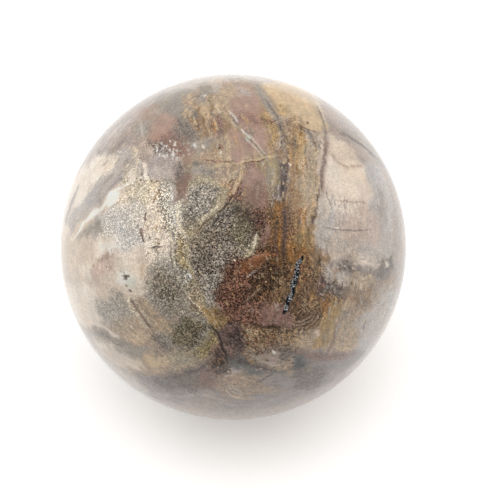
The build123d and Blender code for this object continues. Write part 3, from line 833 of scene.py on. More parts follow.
# Bottom: rust, plum, the mesh and the swirl, and the arcs over the limb
BOTTOM = [
    Patch("orange", "gold_fibre", 0.9, [(204, 308), (216, 311), (225, 319), (222, 328), (211, 328)]),
    Strokes("gold strokes", ("gold_fibre", "ochre_fibre", "golden_tan", "dark_brown"), 0.2, 0.1, 0.7, 40, [
        (207, 310), (216, 312), (224, 320), (222, 328), (212, 328),
    ]),
    Patch("mauve brown", "red_brown", 1.2, [(234, 306), (256, 302), (262, 318), (248, 328), (236, 324)]),
    Patch("dark by the speckle", "red_brown", 1.0, [(250, 306), (262, 306), (264, 328), (252, 328)]),
    Patch("pink speckle", "rose_jasper", 1.0, [(262, 310), (275, 304), (286, 312), (288, 326), (264, 324)]),
    Oval("pale in the speckle", "pale_taupe", 0.6, (276, 306), 1.5, 3, 10),
    Patch("plum", "deep_plum", 0.8, [
        (220, 328), (232, 323), (242, 330), (246, 346), (243, 358), (236, 366), (228, 364), (221, 346),
    ]),
    Oval("core of the plum", "plum_jasper", 1.0, (238, 338), 3, 9),
    Patch("dark brown", "heart_brown", 0.9, [(210, 362), (222, 352), (230, 362), (226, 374), (208, 372)]),
    Patch("mesh", "olive_brown", 0.8, [
        (243, 331), (254, 328), (266, 340), (266, 352), (256, 353), (247, 347),
    ]),
    Patch("golden swirl", "olive_brown", 0.8, [
        (254, 329), (272, 330), (292, 331), (292, 341), (276, 345), (258, 342),
    ]),
    Patch("brown in the swirl", "brown_fibre", 0.8, [(263, 333), (274, 333), (276, 343), (266, 346)]),
    Patch("pale swirl", "deep_chert", 1.0, [
        (256, 348), (266, 346), (274, 350), (292, 344), (294, 356), (282, 364), (262, 360),
    ]),
    Patch("cream swirl", "taupe_chert", 0.8, [(260, 352), (270, 353), (278, 358), (272, 366), (260, 362)]),
    Oval("dark in the swirl", "deep_plum", 0.8, (273, 347), 5, 3),
    Oval("dark by the mesh", "deep_plum", 0.8, (247, 357), 4, 2.5),
    Patch("dark slate", "slate_chert", 1.0, [
        (228, 361), (240, 357), (254, 363), (268, 369), (284, 371), (282, 377), (262, 377), (240, 371),
    ]),
    Vein("blue stripe", "plum_jasper", 0.8, 0.6, [(236, 361), (248, 363), (260, 368), (278, 372)]),
    Vein("cream curve", "pale_taupe", 0.4, 0.3, [(252, 356), (258, 358), (266, 363), (279, 365)]),
    Oval("pale mauve", "mauve_chert", 0.9, (231, 370), 3, 2),
    Oval("white streak", "pale_taupe", 0.3, (227, 375), 2.5, 0.8),
    Patch("tan oval", "tan_chert", 1.3, [
        (220, 384), (230, 376), (256, 380), (262, 390), (248, 399), (228, 398),
    ]),
    Patch("bluish mauve", "lavender_chert", 1.0, [
        (262, 374), (290, 376), (296, 386), (272, 388), (262, 382),
    ]),
    Vein("dark diagonal", "dark_brown", 0.3, 0.2, [(256, 384), (264, 379), (272, 374)]),
    Vein("dark under pink", "dark_brown", 0.5, 0.3, [(250, 321), (258, 326), (275, 328), (292, 331)]),
    Vein("yellow arc", "beige_opal", 0.22, 0.2, [(224, 384), (230, 395), (244, 398)]),
    Vein("inner yellow arc", "beige_opal", 0.22, 0.2, [(228, 384), (233, 392), (243, 395)]),
    Vein("innermost yellow arc", "beige_opal", 0.2, 0.2, [(232, 384), (236, 390), (243, 392)]),
    Strokes("mesh lines", ("red_brown", "rim_sand", "bright_rust", "dark_brown"), 0.2, 0.1, 1.4, 50, [
        (243, 332), (254, 331), (266, 346), (264, 356), (250, 352),
    ]),
    Strokes("swirl specks", (
        "tan_chert", "dark_brown", "gold_fibre", "black_seam", "brown_fibre",
    ), 0.2, 0.12, 0.6, 170, [
        (242, 354), (258, 328), (300, 326), (306, 350), (290, 372), (252, 366),
    ]),
    Strokes("plum specks", ("black_seam", "rose_jasper", "plum_jasper"), 0.22, 0.12, 0.9, 60, [
        (206, 330), (236, 322), (246, 346), (238, 366), (206, 370),
    ]),
    Strokes("pink specks", (
        "pink_jasper", "plum_jasper", "salmon_jasper", "black_seam",
    ), 0.2, 0.1, 0.3, 70, [
        (244, 302), (282, 300), (284, 324), (250, 324),
    ]),
    Strokes("bottom specks", ("dark_chert", "taupe_chert", "mauve_jasper"), 0.22, 0.15, 0.8, 60, [
        (206, 366), (250, 366), (294, 374), (270, 394), (220, 396),
    ]),
    Vein("pale by the line", "gold_sand", 0.4, 0.25, [(208, 330), (213, 336), (217, 345)]),
    Vein("black line", "black_seam", 0.4, 0.22, [
        (210, 326), (214, 330), (219, 336), (222, 343), (224, 351), (228, 362),
    ]),
]

# Over all: the healed crack at the top with painted glints on its edges, the level tan vein, open cracks
# and white flecks
LINES = [
    Vein("healed crack, shade", "olive_chert", 0.35, 0.3, [
        (209, 101), (221, 112), (232, 122), (240, 130), (248, 139),
    ]),
    Vein("healed crack, start", "cream_opal", 0.18, 0.1, [(214, 105), (217, 108), (220, 112)]),
    # Painted glints: the white and the green-white marks on the healed crack stand for light caught on its
    # edges
    Vein("healed crack, upper", "crystal_white_and_glint", 0.18, 0.08, [(229, 111), (234, 116), (238.5, 123)]),
    Vein("healed crack, dark", "dark_chert", 0.26, 0.12, [(228, 114), (233, 119), (239, 127)]),
    Vein("healed crack, lower", "pale_taupe", 0.16, 0.08, [(230, 120), (237, 127.5)]),
    Vein("healed crack, bright", "crystal_white_and_glint", 0.2, 0.08, [(240, 129.5), (246.5, 135.5)]),
    Oval("healed crack, green", "pale_green_and_glint", 0.3, (248, 138), 1.5, 2.5, 30),
    Vein("healed crack, shade below", "dark_chert", 0.3, 0.15, [(247, 137), (256, 147), (264, 157)]),
    Vein("healed crack, right line", "cream_opal", 0.15, 0.1, [(248, 134), (256, 143), (265, 155)]),
    Vein("healed crack, left line", "cream_opal", 0.15, 0.1, [(248, 140), (256, 149), (263, 157)]),
    Vein("level vein, left", "red_brown", 0.26, 0.25, [(204, 159), (222, 162), (243, 163)]),
    Vein("level vein, shade", "red_brown", 0.4, 0.25, [(242, 163.5), (254, 161.5), (264, 159)]),
    Vein("level vein", "golden_tan", 0.28, 0.15, [
        (213, 169), (222, 165), (246, 162), (264, 157.5), (279, 155),
    ]),
    Vein("crack in the strip", "ochre_fibre", 0.35, 0.2, [(159, 192), (155, 198), (152, 203)]),
    Vein("second crack", "dark_brown", 0.35, 0.15, [(146, 212), (145.5, 221)]),
    Vein("third crack", "red_brown", 0.4, 0.2, [(141.5, 227), (142, 236), (144, 242)]),
    Vein("level crack", "dark_brown", 0.32, 0.15, [(150.5, 249), (156, 247), (162, 246.5)]),
    Vein("short crack", "dark_brown", 0.25, 0.15, [(154, 250), (158, 254)]),
    Oval("fleck in the rose", "crystal_white_and_glint", 0.12, (157.3, 149), 0.6, 3),
    Oval("fleck in the lilac", "crystal_white_and_glint", 0.15, (164, 156), 2.5, 0.8, -30),
    Oval("round fleck", "crystal_white_and_glint", 0.15, (173.5, 154.5), 1.5, 2),
    Oval("fleck in the green", "crystal_white_and_glint", 0.2, (195, 145), 0.7, 2.5, 20),
    Oval("second fleck in the green", "white_quartz_and_glint", 0.2, (203, 147), 0.7, 2, 40),
    Oval("top fleck", "crystal_white_and_glint", 0.15, (204.5, 95.5), 2, 0.9, -35),
    Oval("fleck on the line", "crystal_white_and_glint", 0.12, (337.5, 227.5), 2, 0.6),
    Oval("yellow fleck", "cream_opal", 0.15, (290, 165), 1, 2, 40),
    Oval("fleck in the swirl", "crystal_white_and_glint", 0.2, (273.5, 353), 1, 2.5, 20),
]

# Rings like a shell's, in the brown beside the golden strip: their middle, the pixels of the first ring's
# radius and of the step to the next, their number, the degrees between which they run, from right, the
# places along one, and their width and blur in millimetres
RINGS_CENTRE = (299, 309)
RINGS_FIRST = 13.0
RINGS_STEP = 3.3
RINGS_COUNT = 5
RINGS_FROM = -12
RINGS_TO = -108
RINGS_POINTS = 6
RINGS_WIDTH = 0.2
RINGS_BLUR = 0.12


def ring_route(radius):
    """Places along a ring of a radius in pixels."""
    angles = np.radians(np.linspace(RINGS_FROM, RINGS_TO, RINGS_POINTS))
    return [
        (RINGS_CENTRE[0] + radius * math.cos(angle), RINGS_CENTRE[1] - radius * math.sin(angle))
        for angle in angles
    ]


RINGS = [
    Vein("ring", "tan_chert", RINGS_WIDTH, RINGS_BLUR, ring_route(RINGS_FIRST + ring * RINGS_STEP))
    for ring in range(RINGS_COUNT)
]

MARKS = (
    FIELDS + UPPER_LEFT + TOP + UPPER_RIGHT + LEFT + MIDDLE
    + LOWER_RIGHT + LOWER_LEFT + BOTTOM + RINGS + LINES
)

# Growth bands of the wood behind all marks, across the fibre from the left limb to the right, each with
# its mineral and its width in millimetres, the sizes of their turns and how far each goes, how far the
# fibre pulls out their edges, and the blur of those
GROWTH_BANDS = [
    ("cream_opal", 7.0), ("beige_opal", 4.0), ("mauve_chert", 2.0), ("pale_sand", 3.0),
    ("cream_sand", 2.0), ("dark_sand", 6.0), ("cream_sand", 1.2), ("olive_chert", 3.0),
    ("rose_jasper", 4.0), ("rust_jasper", 2.5), ("gold_fibre", 4.0), ("dark_chert", 1.5),
    ("ochre_fibre", 4.5), ("tan_chert", 3.0), ("lavender_chert", 1.5), ("peach_opal", 7.0),
    ("taupe_chert", 5.0), ("pale_taupe", 6.0),
]
BAND_WANDER = ((16, 7.0), (5, 2.0))
BAND_FEATHER = 0.4
BAND_BLUR = 1.0

# The hidden sides: the marks lie there again on the growth bands, carried round the trunk's axis by a turn
# in degrees and turned over where a sign is -1, so that the wood goes on as it is in front. Veins thinner
# than the least width are left out, no edge is sharper than the least blur, and the fibre pulls an edge out
# less far, all in millimetres, as the mesh is coarser there
HiddenSide = namedtuple("HiddenSide", "turn right_sign up_sign")
HIDDEN_SIDES = [
    HiddenSide(turn=118, right_sign=1, up_sign=-1),
    HiddenSide(turn=-124, right_sign=1, up_sign=1),
]
HIDDEN_LEAST_WIDTH = 0.6
HIDDEN_LEAST_BLUR = 0.8
HIDDEN_FEATHER = 0.4

# The open fissure's route in the photo, its widths along that, as shares of the greatest, and the vugs in
# pixels with their widths in millimetres
FISSURE_ROUTE = [
    (302.8, 257.6), (301.3, 260.4), (298.6, 264.0), (297.6, 269.0), (297.4, 275.0), (295.2, 281.0),
    (293.6, 287.0), (293.6, 292.0), (292.4, 295.6), (289.6, 298.2), (288.0, 303.0), (286.6, 309.0),
    (284.6, 313.0),
]
FISSURE_WIDTHS = [0.45, 0.6, 0.8, 0.65, 0.75, 0.95, 0.85, 0.6, 0.65, 0.85, 0.6, 0.65, 0.4]
VUGS = [
    ((125.0, 277.8), 1.3), ((127.6, 276.4), 0.8), ((126.3, 286.2), 0.65), ((130.0, 291.4), 0.8),
    ((123.7, 273.3), 0.45), ((120.7, 272.2), 0.4),
]

# The walls of a vug: the width of its floor and its depth, as shares of its width
VUG_FLOOR = 0.4
VUG_DEPTH = 0.54

# How deep in millimetres the fissure and a vug are where their painted shade, a dark colour laid more fully
# the deeper they are, is at its full colour, the least width of the fissure, as a share of its greatest,
# and
# how ragged the edges are: the size of their turns in millimetres, and how far those go, as a share of the
# width
FISSURE_SHADE_DEPTH = 0.3
VUG_SHADE_DEPTH = 0.45
FISSURE_LEAST = 0.1
RAGGED_SIZE = 0.35
FISSURE_RAGGED = 0.16
VUG_RAGGED = 0.32

# The quartz points in the fissure: between which shares of its length they stand, how far aside of its
# middle, as a share of its width, their lengths, as shares of the longest, and the most of the depth that
# one fills, how far they lean, the least length in millimetres and the least rise of one that grows, and,
# as shares of its length, its radius, the height of its root and that of its shoulder
CRYSTAL_STRETCH = (0.03, 0.97)
CRYSTAL_ASIDE = 0.44
CRYSTAL_LENGTHS = (0.4, 1.0)
CRYSTAL_FILL = 0.9
CRYSTAL_LEAN = 0.5
CRYSTAL_LEAST_LENGTH = 0.12
CRYSTAL_LEAST_RISE = 0.4
CRYSTAL_RADII = (0.22, 0.36)
CRYSTAL_ROOT = -0.2
CRYSTAL_SHOULDER = 0.55
CRYSTAL_SIDES = 6
CRYSTAL_SEED = 11

# The mesh: how far round from the camera's side its faces are divided once and twice, and how near to the
# fissure, to a vug and to a vein thinner than the fine width they are divided once more, in millimetres
FRONT_ANGLE = math.radians(78)
MIDDLE_ANGLE = math.radians(46.5)
FINE_WIDTH = 0.8
FINE_REACH = 0.8
FLAW_REACH = 1.1

# The cube that the ball grows from, as wide as from -1 to 1, and the map of its sides: how many lie across
# and along it, and the margin round each, as a share of it
CUBE_SIDE = 2.0
UV_NAME = "OFBake"
UV_ACROSS = 3
UV_ALONG = 2
UV_MARGIN = 0.01

# The way the fibre runs: routes in the photo that it follows, how far their pull reaches in millimetres,
# and the pull of the trunk's own axis where no route is near
FLOW_GUIDES = [
    [(134, 150), (127, 165), (117, 178), (103, 191), (89, 208), (74, 222)],
    [(134, 181), (114, 192), (103, 208), (84, 222), (74, 238)],
    [(159, 185), (149, 206), (144, 230), (146, 258), (147, 290)],
    [(160, 186), (169, 208), (174, 229), (181, 251)],
    [(189, 240), (186, 255), (195, 283), (205, 308), (219, 343)],
    [(166, 230), (173, 258), (183, 290), (200, 308)],
    [(130, 298), (142, 317), (148, 324), (168, 350)],
    [(80, 320), (102, 327), (114, 337), (135, 341)],
    [(85, 328), (103, 335), (120, 344), (140, 358)],
    [(150, 375), (182, 372), (200, 365), (218, 352)],
    [(62, 290), (84, 330), (100, 356), (140, 395), (210, 418), (262, 418)],
    [(88, 160), (104, 136), (124, 116), (150, 97)],
    [(150, 120), (162, 138), (174, 154), (180, 178)],
    [(183, 103), (191, 120), (203, 135), (212, 160)],
    [(208, 101), (213, 112), (213, 125), (210, 137)],
    [(257, 86), (268, 107), (281, 127), (287, 144), (288, 165), (283, 190), (283, 215), (284, 260)],
    [(232, 95), (245, 115), (255, 130), (262, 150), (268, 180)],
    [(296, 90), (306, 110), (309, 140), (308, 170), (304, 210), (300, 240)],
    [(312, 97), (322, 110), (326, 133), (326, 160), (320, 190), (312, 228), (311, 245)],
    [(225, 140), (228, 175)],
    [(241, 172), (234, 192), (226, 205), (210, 216), (190, 236)],
    [(335, 133), (350, 139), (365, 149), (382, 166)],
    [(345, 165), (346, 205), (344, 240)],
    [(322, 200), (326, 225), (330, 255), (331, 280)],
    [(375, 170), (385, 210), (386, 250)],
    [(335, 262), (356, 266), (378, 272), (390, 266)],
    [(400, 200), (406, 250), (398, 305), (376, 346)],
    [(304, 256), (294, 280), (287, 300), (280, 325)],
    [(320, 258), (316, 290), (312, 315)],
    [(341, 300), (335, 322), (331, 345), (326, 358)],
    [(360, 280), (352, 310), (346, 345)],
    [(242, 268), (250, 260), (262, 256), (275, 256)],
    [(243, 333), (252, 346), (262, 356)],
    [(205, 305), (210, 327), (220, 346), (226, 362)],
    [(222, 330), (232, 340), (240, 360)],
    [(240, 352), (258, 358), (278, 365), (300, 352), (330, 356), (360, 352)],
    [(220, 395), (262, 400), (300, 388), (340, 372), (370, 345)],
]
FLOW_REACH = 4.0
FLOW_REST = 0.02

# Quartz: its refraction, and the colour and the roughness of its points
QUARTZ_IOR = 1.54
CRYSTAL_COLOUR = "#E6E8EA"
CRYSTAL_ROUGHNESS = 0.08

# Single fibres: the detail and the roughness of their noise, the values of it that are their darkest and
# their palest, and the tones of those, as shares of the mineral's own
FIBRE_DETAIL = 2.0
FIBRE_ROUGHNESS = 0.6
FIBRE_VALUES = (0.3, 0.7)
FIBRE_TONES = (0.6, 1.4)

# The tints of warm and of cool grains of sand, as shares of the sand's own colour
WARM_GRAIN = (1.03, 1.0, 0.95)
COOL_GRAIN = (0.96, 1.0, 1.02)

# The stage: the paper, the tent's cloth, where that is open and how far the opening reaches, and the lamp
# overhead
PAPER_COLOUR = "#F4F4F4"
TENT_COLOUR = "#FFFCF8"
OPENING_SIDE = (0.0, -0.94, 0.34)
OPENING_INNER = math.radians(20)
OPENING_OUTER = math.radians(65)
LAMP_ANGLE = math.radians(60)
LAMP_TURN = (math.radians(12), math.radians(-4), 0.0)


def linear(colour):
    """A colour written as sRGB hex, as linear red, green and blue."""
    shares = [int(colour[i:i + 2], 16) / 255 for i in (1, 3, 5)]
    return tuple(s / 12.92 if s <= 0.04045 else ((s + 0.055) / 1.055) ** 2.4 for s in shares)


# Lines and outlines: the steps between two points of a curve, the places round an oval, the least size that
# is no longer nothing, and how near to the trunk's axis a place has its right and up from the camera's
CURVE_STEPS = 5
OVAL_POINTS = 8
TINY = 1e-12
NEAR_AXIS = 0.9


def unit(vectors):
    """Vectors of the same ways, each of length 1."""
    return vectors / np.linalg.norm(vectors, axis=-1, keepdims=True)


def smooth_step(shares):
    """Shares from 0 to 1, eased at both ends."""
    shares = np.clip(shares, 0, 1)
    return shares * shares * (3 - 2 * shares)


def on_ball(pixels):
    """Places in the photo as directions from the ball's centre, carried there along the camera's sight."""
    x, y = np.array(pixels, float).T
    sight = (
        np.outer((x - PHOTO_SIDE / 2) / FOCAL_PIXELS, RIGHT)
        + np.outer((PHOTO_SIDE / 2 - y) / FOCAL_PIXELS, UP)
        - BACK
    )
    sight = unit(sight)
    nearest = -(sight @ EYE)
    inside = 1 - (EYE @ EYE - nearest**2)
    return unit(EYE + sight * (nearest - np.sqrt(np.clip(inside, 0, None)))[:, None])


def carried(directions, side):
    """Directions turned over and carried round the trunk's axis to a hidden side."""
    right = directions @ RIGHT * side.right_sign
    up = directions @ UP * side.up_sign
    back = directions @ BACK
    cosine = math.cos(math.radians(side.turn))
    sine = math.sin(math.radians(side.turn))
    return (
        np.outer(right * cosine + back * sine, RIGHT)
        + np.outer(up, UP)
        + np.outer(back * cosine - right * sine, BACK)
    )


def flat_axes(centre):
    """Two directions, right and up, on the plane that touches the ball at a centre."""
    guide = UP if abs(centre @ UP) < NEAR_AXIS else BACK
    right = unit(np.cross(guide, centre))
    return right, np.cross(centre, right)


def flatten(directions, centre):
    """Directions as millimetres right and up of a centre, measured along the ball."""
    right, up = flat_axes(centre)
    cosine = np.clip(directions @ centre, -1, 1)
    angle = np.arccos(cosine)
    stretch = RADIUS_MM * angle / np.maximum(np.sin(angle), TINY)
    return np.stack([directions @ right * stretch, directions @ up * stretch], 1)


def curve_through(points, closed):
    """A smooth line through the points, rounded between them."""
    count = len(points)
    spans = count if closed else count - 1
    found = []
    for i in range(spans):
        if closed:
            before, start, end, after = (points[(i + k) % count] for k in (-1, 0, 1, 2))
        else:
            before, start, end, after = (points[min(max(i + k, 0), count - 1)] for k in (-1, 0, 1, 2))
        slope = end - before
        bend = 2 * before - 5 * start + 4 * end - after
        twist = 3 * (start - end) + after - before
        for share in np.arange(CURVE_STEPS) / CURVE_STEPS:
            found.append(start + 0.5 * share * (slope + share * (bend + share * twist)))
    found.append(points[0] if closed else points[-1])
    return np.array(found)


def gap_to_line(points, line):
    """How far points are from a line, and how far along it, from 0 to 1, its nearest place is."""
    gap = np.full(len(points), np.inf)
    along = np.zeros(len(points))
    spans = len(line) - 1
    for i in range(spans):
        step = line[i + 1] - line[i]
        offset = points - line[i]
        share = np.clip(offset @ step / max(step @ step, TINY), 0, 1)
        found = np.hypot(*(offset - np.outer(share, step)).T)
        nearer = found < gap
        gap[nearer] = found[nearer]
        along[nearer] = (i + share[nearer]) / spans
    return gap, along


def within(points, outline):
    """Whether points lie inside a closed outline."""
    inside = np.zeros(len(points), bool)
    x, y = points.T
    for start, end in zip(outline[:-1], outline[1:]):
        crosses = (start[1] > y) != (end[1] > y)
        rise = end[1] - start[1]
        if rise == 0:
            continue
        inside ^= crosses & (x < start[0] + (y - start[1]) / rise * (end[0] - start[0]))
    return inside


# Smooth noise: a block of random numbers that repeats, how far apart its uses lie in it, and those uses
NOISE_SIDE = 48
NOISE_SEED = 3
NOISE_BLOCK = np.random.default_rng(NOISE_SEED).uniform(-1, 1, (NOISE_SIDE, NOISE_SIDE, NOISE_SIDE))
NOISE_STEP = 7.3
WANDER_USES = (0, 3, 6)
FINE_USE = 1
BROAD_USE = 2
BAND_USE = 4
CLOUD_USE = 5
TINT_USE = 6
FISSURE_USE = 8
VUG_USE = 9


def noise_at(places, size, use):
    """Smooth random numbers from -1 to 1 at places in millimetres, which change over the given size."""
    cells = places / size + use * NOISE_STEP
    low = np.floor(cells).astype(int)
    share = smooth_step(cells - low)
    value = np.zeros(len(places))
    for corner in itertools.product((0, 1), repeat=3):
        weight = np.prod(np.where(corner, share, 1 - share), axis=1)
        x, y, z = ((low + corner) % NOISE_SIDE).T
        value += weight * NOISE_BLOCK[x, y, z]
    return value


def guide_steps():
    """The steps of all the guides: their middles on the ball, and their ways."""
    lines = [on_ball(route) for route in FLOW_GUIDES]
    middles = unit(np.concatenate([line[1:] + line[:-1] for line in lines]))
    return middles, unit(np.concatenate([line[1:] - line[:-1] for line in lines]))


def flow_along(directions, guides):
    """The way the fibre runs at each place: that of the guides near it, or else that of the trunk."""
    middles, ways = guides
    gaps = RADIUS_MM * np.arccos(np.clip(directions @ middles.T, -1, 1))
    pulls = np.exp(-((gaps / FLOW_REACH) ** 2))
    pairs = (ways[:, :, None] * ways[:, None, :]).reshape(-1, 9)
    tensor = (pulls @ pairs).reshape(-1, 3, 3) + FLOW_REST * np.outer(UP, UP)
    level = np.eye(3) - directions[:, :, None] * directions[:, None, :]
    return np.linalg.eigh(level @ tensor @ level)[1][:, :, 2]


def streaks_along(places, flow, width, length, use):
    """Noise drawn out along the fibre, mostly between -2 and 2."""
    total = np.zeros(len(places))
    for share in np.linspace(-0.5, 0.5, STREAK_STEPS):
        total += noise_at(places + flow * share * length, width, use)
    return np.clip(total / total.std(), -STREAK_LIMIT, STREAK_LIMIT)


def field_outline(mark):
    """The outline of a patch, or places round an oval."""
    if isinstance(mark, Patch):
        return mark.outline
    turn = math.radians(mark.turn)
    places = []
    for i in range(OVAL_POINTS):
        angle = i * math.tau / OVAL_POINTS
        across = mark.half_width * math.cos(angle)
        along = mark.half_height * math.sin(angle)
        places.append((
            mark.centre[0] + across * math.cos(turn) + along * math.sin(turn),
            mark.centre[1] - across * math.sin(turn) + along * math.cos(turn),
        ))
    return places


# Streaks of fibre: the samples along one, its width and length in millimetres, its greatest strength, how
# strongly streaks change the tone and the tint, and how far in millimetres they pull out the edge of a
# fibrous mark
STREAK_STEPS = 9
FINE_STREAK = (0.3, 3.5)
BROAD_STREAK = (0.8, 12.0)
STREAK_LIMIT = 2.5
FINE_STREAK_TONE = 0.2
BROAD_STREAK_TONE = 0.11
STREAK_TINT = np.array((0.03, 0.0, -0.06))
FEATHER = 0.8

# Strokes: the steps along one, how far it leans off the fibre, and its length and width, as shares of those
# that the mark gives
STROKE_STEPS = 4
STROKE_TILT = 0.15
STROKE_LENGTHS = (0.5, 1.3)
STROKE_WIDTHS = (0.7, 1.3)
STROKE_SEED = 21

# Edges of marks: how far one can reach, in blurs, how bluntly a vein thins out, how far an edge wanders, as
# a share of its blur and for a vein in millimetres, the sizes of the turns it takes, and how far each goes
EDGE_REACH = 4
VEIN_TAPER = 6
WANDER = 0.9
VEIN_WANDER = 0.22
WANDER_SIZES = ((2.6, 1.0), (0.9, 0.6), (0.35, 0.4))

# Mottling of every mineral: the sizes of its clouds in millimetres and how strongly each changes its tone,
# the size at which its tint changes and how far that goes, and the lightest that a mineral can be
CLOUDS = ((3.5, 0.1), (1.1, 0.09), (0.45, 0.07), (0.28, 0.06))
TINT_SIZE = 3.5
CLOUD_TINT = np.array((0.035, 0.0, -0.045))
LIGHTEST = 0.95


def edge_cover(depth, blur):
    """How far a mineral covers places at a depth inside its edge, which fades out over its blur."""
    return smooth_step(0.5 + depth / (2 * blur))


class Figure:
    """The stone's figure: for every place on the ball, its colour, its sand and its fibre."""

    def __init__(self, directions, colours):
        self.directions = directions
        self.colours = colours
        self.places = directions * RADIUS_MM
        self.wander = np.stack([
            sum(reach * noise_at(self.places, size, use) for size, reach in WANDER_SIZES)
            for use in WANDER_USES
        ], 1)
        self.guides = guide_steps()
        self.flow = flow_along(directions, self.guides)
        self.draw = np.random.default_rng(STROKE_SEED)
        self.fine = streaks_along(self.places, self.flow, *FINE_STREAK, FINE_USE)
        self.broad = streaks_along(self.places, self.flow, *BROAD_STREAK, BROAD_USE)
        self.colour = np.zeros((len(directions), 3))
        self.sand = np.zeros(len(directions))
        self.fibre = np.zeros(len(directions))

    def lay(self, mineral, where, cover):
        """Lays a mineral over what is there."""
        keep = 1 - cover
        self.colour[where] = self.colour[where] * keep[:, None] + np.outer(cover, self.colours[mineral])
        self.sand[where] = self.sand[where] * keep + cover * MINERALS[mineral].sand
        self.fibre[where] = self.fibre[where] * keep + cover * MINERALS[mineral].fibre

    def lay_mark(self, mark):
        """Lays a patch, an oval, a vein or strokes where the photo shows them."""
        if isinstance(mark, Strokes):
            self.lay_strokes(mark)
        elif isinstance(mark, Vein):
            self.lay_line(mark.mineral, mark.width, mark.blur, on_ball(mark.route))
        else:
            self.lay_field(mark.mineral, mark.blur, on_ball(field_outline(mark)))

    def lay_hidden(self, side):
        """Lays the marks, without the broad fields, again on a hidden side."""
        for mark in MARKS[len(FIELDS):]:
            if isinstance(mark, Vein) and mark.width >= HIDDEN_LEAST_WIDTH:
                corners = carried(on_ball(mark.route), side)
                self.lay_line(mark.mineral, mark.width, max(mark.blur, HIDDEN_LEAST_BLUR), corners)
            elif isinstance(mark, (Patch, Oval)):
                corners = carried(on_ball(field_outline(mark)), side)
                self.lay_field(mark.mineral, max(mark.blur, HIDDEN_LEAST_BLUR), corners, HIDDEN_FEATHER)

    def lay_field(self, mineral, blur, corners, feather=FEATHER):
        """Lays a mineral within a closed outline."""
        centre = unit(corners.mean(0))
        line = curve_through(flatten(corners, centre), closed=True)
        feather = feather * MINERALS[mineral].fibre
        where = self.near(centre, np.hypot(*line.T).max() + EDGE_REACH * blur + STREAK_LIMIT * feather)
        moves = self.wander[where] * WANDER * blur + self.flow[where] * self.fine[where, None] * feather
        places = flatten(unit(self.directions[where] + moves / RADIUS_MM), centre)
        gap, _ = gap_to_line(places, line)
        depth = np.where(within(places, line), gap, -gap)
        self.lay(mineral, where, edge_cover(depth, blur))

    def lay_line(self, mineral, width, blur, corners):
        """Lays a mineral along a line, which thins out at its ends."""
        centre = unit(corners.mean(0))
        line = curve_through(flatten(corners, centre), closed=False)
        where = self.near(centre, np.hypot(*line.T).max() + EDGE_REACH * blur + width)
        moves = self.wander[where] * VEIN_WANDER
        places = flatten(unit(self.directions[where] + moves / RADIUS_MM), centre)
        gap, along = gap_to_line(places, line)
        depth = width / 2 * (1 - np.abs(2 * along - 1) ** VEIN_TAPER) - gap
        self.lay(mineral, where, edge_cover(depth, blur))

    def lay_strokes(self, strokes):
        """Lays short lines along the fibre, strewn within an outline."""
        outline = np.array(strokes.outline + strokes.outline[:1], float)
        laid = 0
        while laid < strokes.count:
            pixel = self.draw.uniform(outline.min(0), outline.max(0))
            if not within(pixel[None, :], outline)[0]:
                continue
            line = self.follow(on_ball([pixel]), strokes.length * self.draw.uniform(*STROKE_LENGTHS))
            mineral = strokes.minerals[laid % len(strokes.minerals)]
            width = strokes.width * self.draw.uniform(*STROKE_WIDTHS)
            self.lay_line(mineral, width, strokes.blur, line)
            laid += 1

    def follow(self, start, length):
        """A line of the given length that starts at a place and follows the fibre."""
        line = [start]
        way = flow_along(start, self.guides)[0]
        tilt = self.draw.normal() * STROKE_TILT
        for _ in range(STROKE_STEPS):
            flow = flow_along(line[-1], self.guides)[0]
            way = flow if flow @ way > 0 else -flow
            aside = np.cross(line[-1][0], way) * tilt
            line.append(unit(line[-1] + (way + aside) * length / STROKE_STEPS / RADIUS_MM))
        return np.concatenate(line)

    def near(self, centre, reach):
        """The places within a reach of a centre, in millimetres."""
        return np.flatnonzero(self.directions @ centre > math.cos(min(reach / RADIUS_MM, math.pi)))

    def lay_bands(self):
        """Lays the growth bands all round the ball."""
        across = self.places @ RIGHT + sum(
            reach * noise_at(self.places, size, BAND_USE) for size, reach in BAND_WANDER
        ) + BAND_FEATHER * self.broad
        everywhere = np.arange(len(across))
        start = across.min() - BAND_BLUR
        end = -RADIUS_MM
        for mineral, width in GROWTH_BANDS:
            self.lay(mineral, everywhere, smooth_step((across - start) / BAND_BLUR + 0.5))
            end += width
            start = end

    def weather(self):
        """Streaks the fibrous minerals along the wood and mottles all of them."""
        fine = FINE_STREAK_TONE * self.fine * self.fibre
        broad = BROAD_STREAK_TONE * self.broad * self.fibre
        clouds = sum(reach * noise_at(self.places, size, CLOUD_USE) for size, reach in CLOUDS)
        drift = noise_at(self.places, TINT_SIZE, TINT_USE)
        tint = 1 + np.outer(fine + broad, STREAK_TINT) / FINE_STREAK_TONE + np.outer(drift, CLOUD_TINT)
        tone = np.exp(fine + broad + clouds)
        self.colour = np.clip(self.colour * tone[:, None] * tint, 0, LIGHTEST)


def add_node(tree, kind, inputs=None, **settings):
    """Adds a node with its settings. An input gets a socket to link from, or the value that it holds."""
    node = tree.nodes.new(kind)
    for name, value in settings.items():
        setattr(node, name, value)
    for name, value in (inputs or {}).items():
        if isinstance(value, bpy.types.NodeSocket):
            tree.links.new(value, node.inputs[name])
        else:
            node.inputs[name].default_value = value
    return node


def new_material(name):
    """A material with an empty tree and its output node."""
    material = bpy.data.materials.new(name)
    material.use_nodes = True
    tree = material.node_tree
    tree.nodes.clear()
    return material, tree, tree.nodes.new("ShaderNodeOutputMaterial")


# The sockets of a colour mix: its share, the colour under, the colour over, and the result
SHARE, UNDER, OVER, RESULT = 0, 6, 7, 2


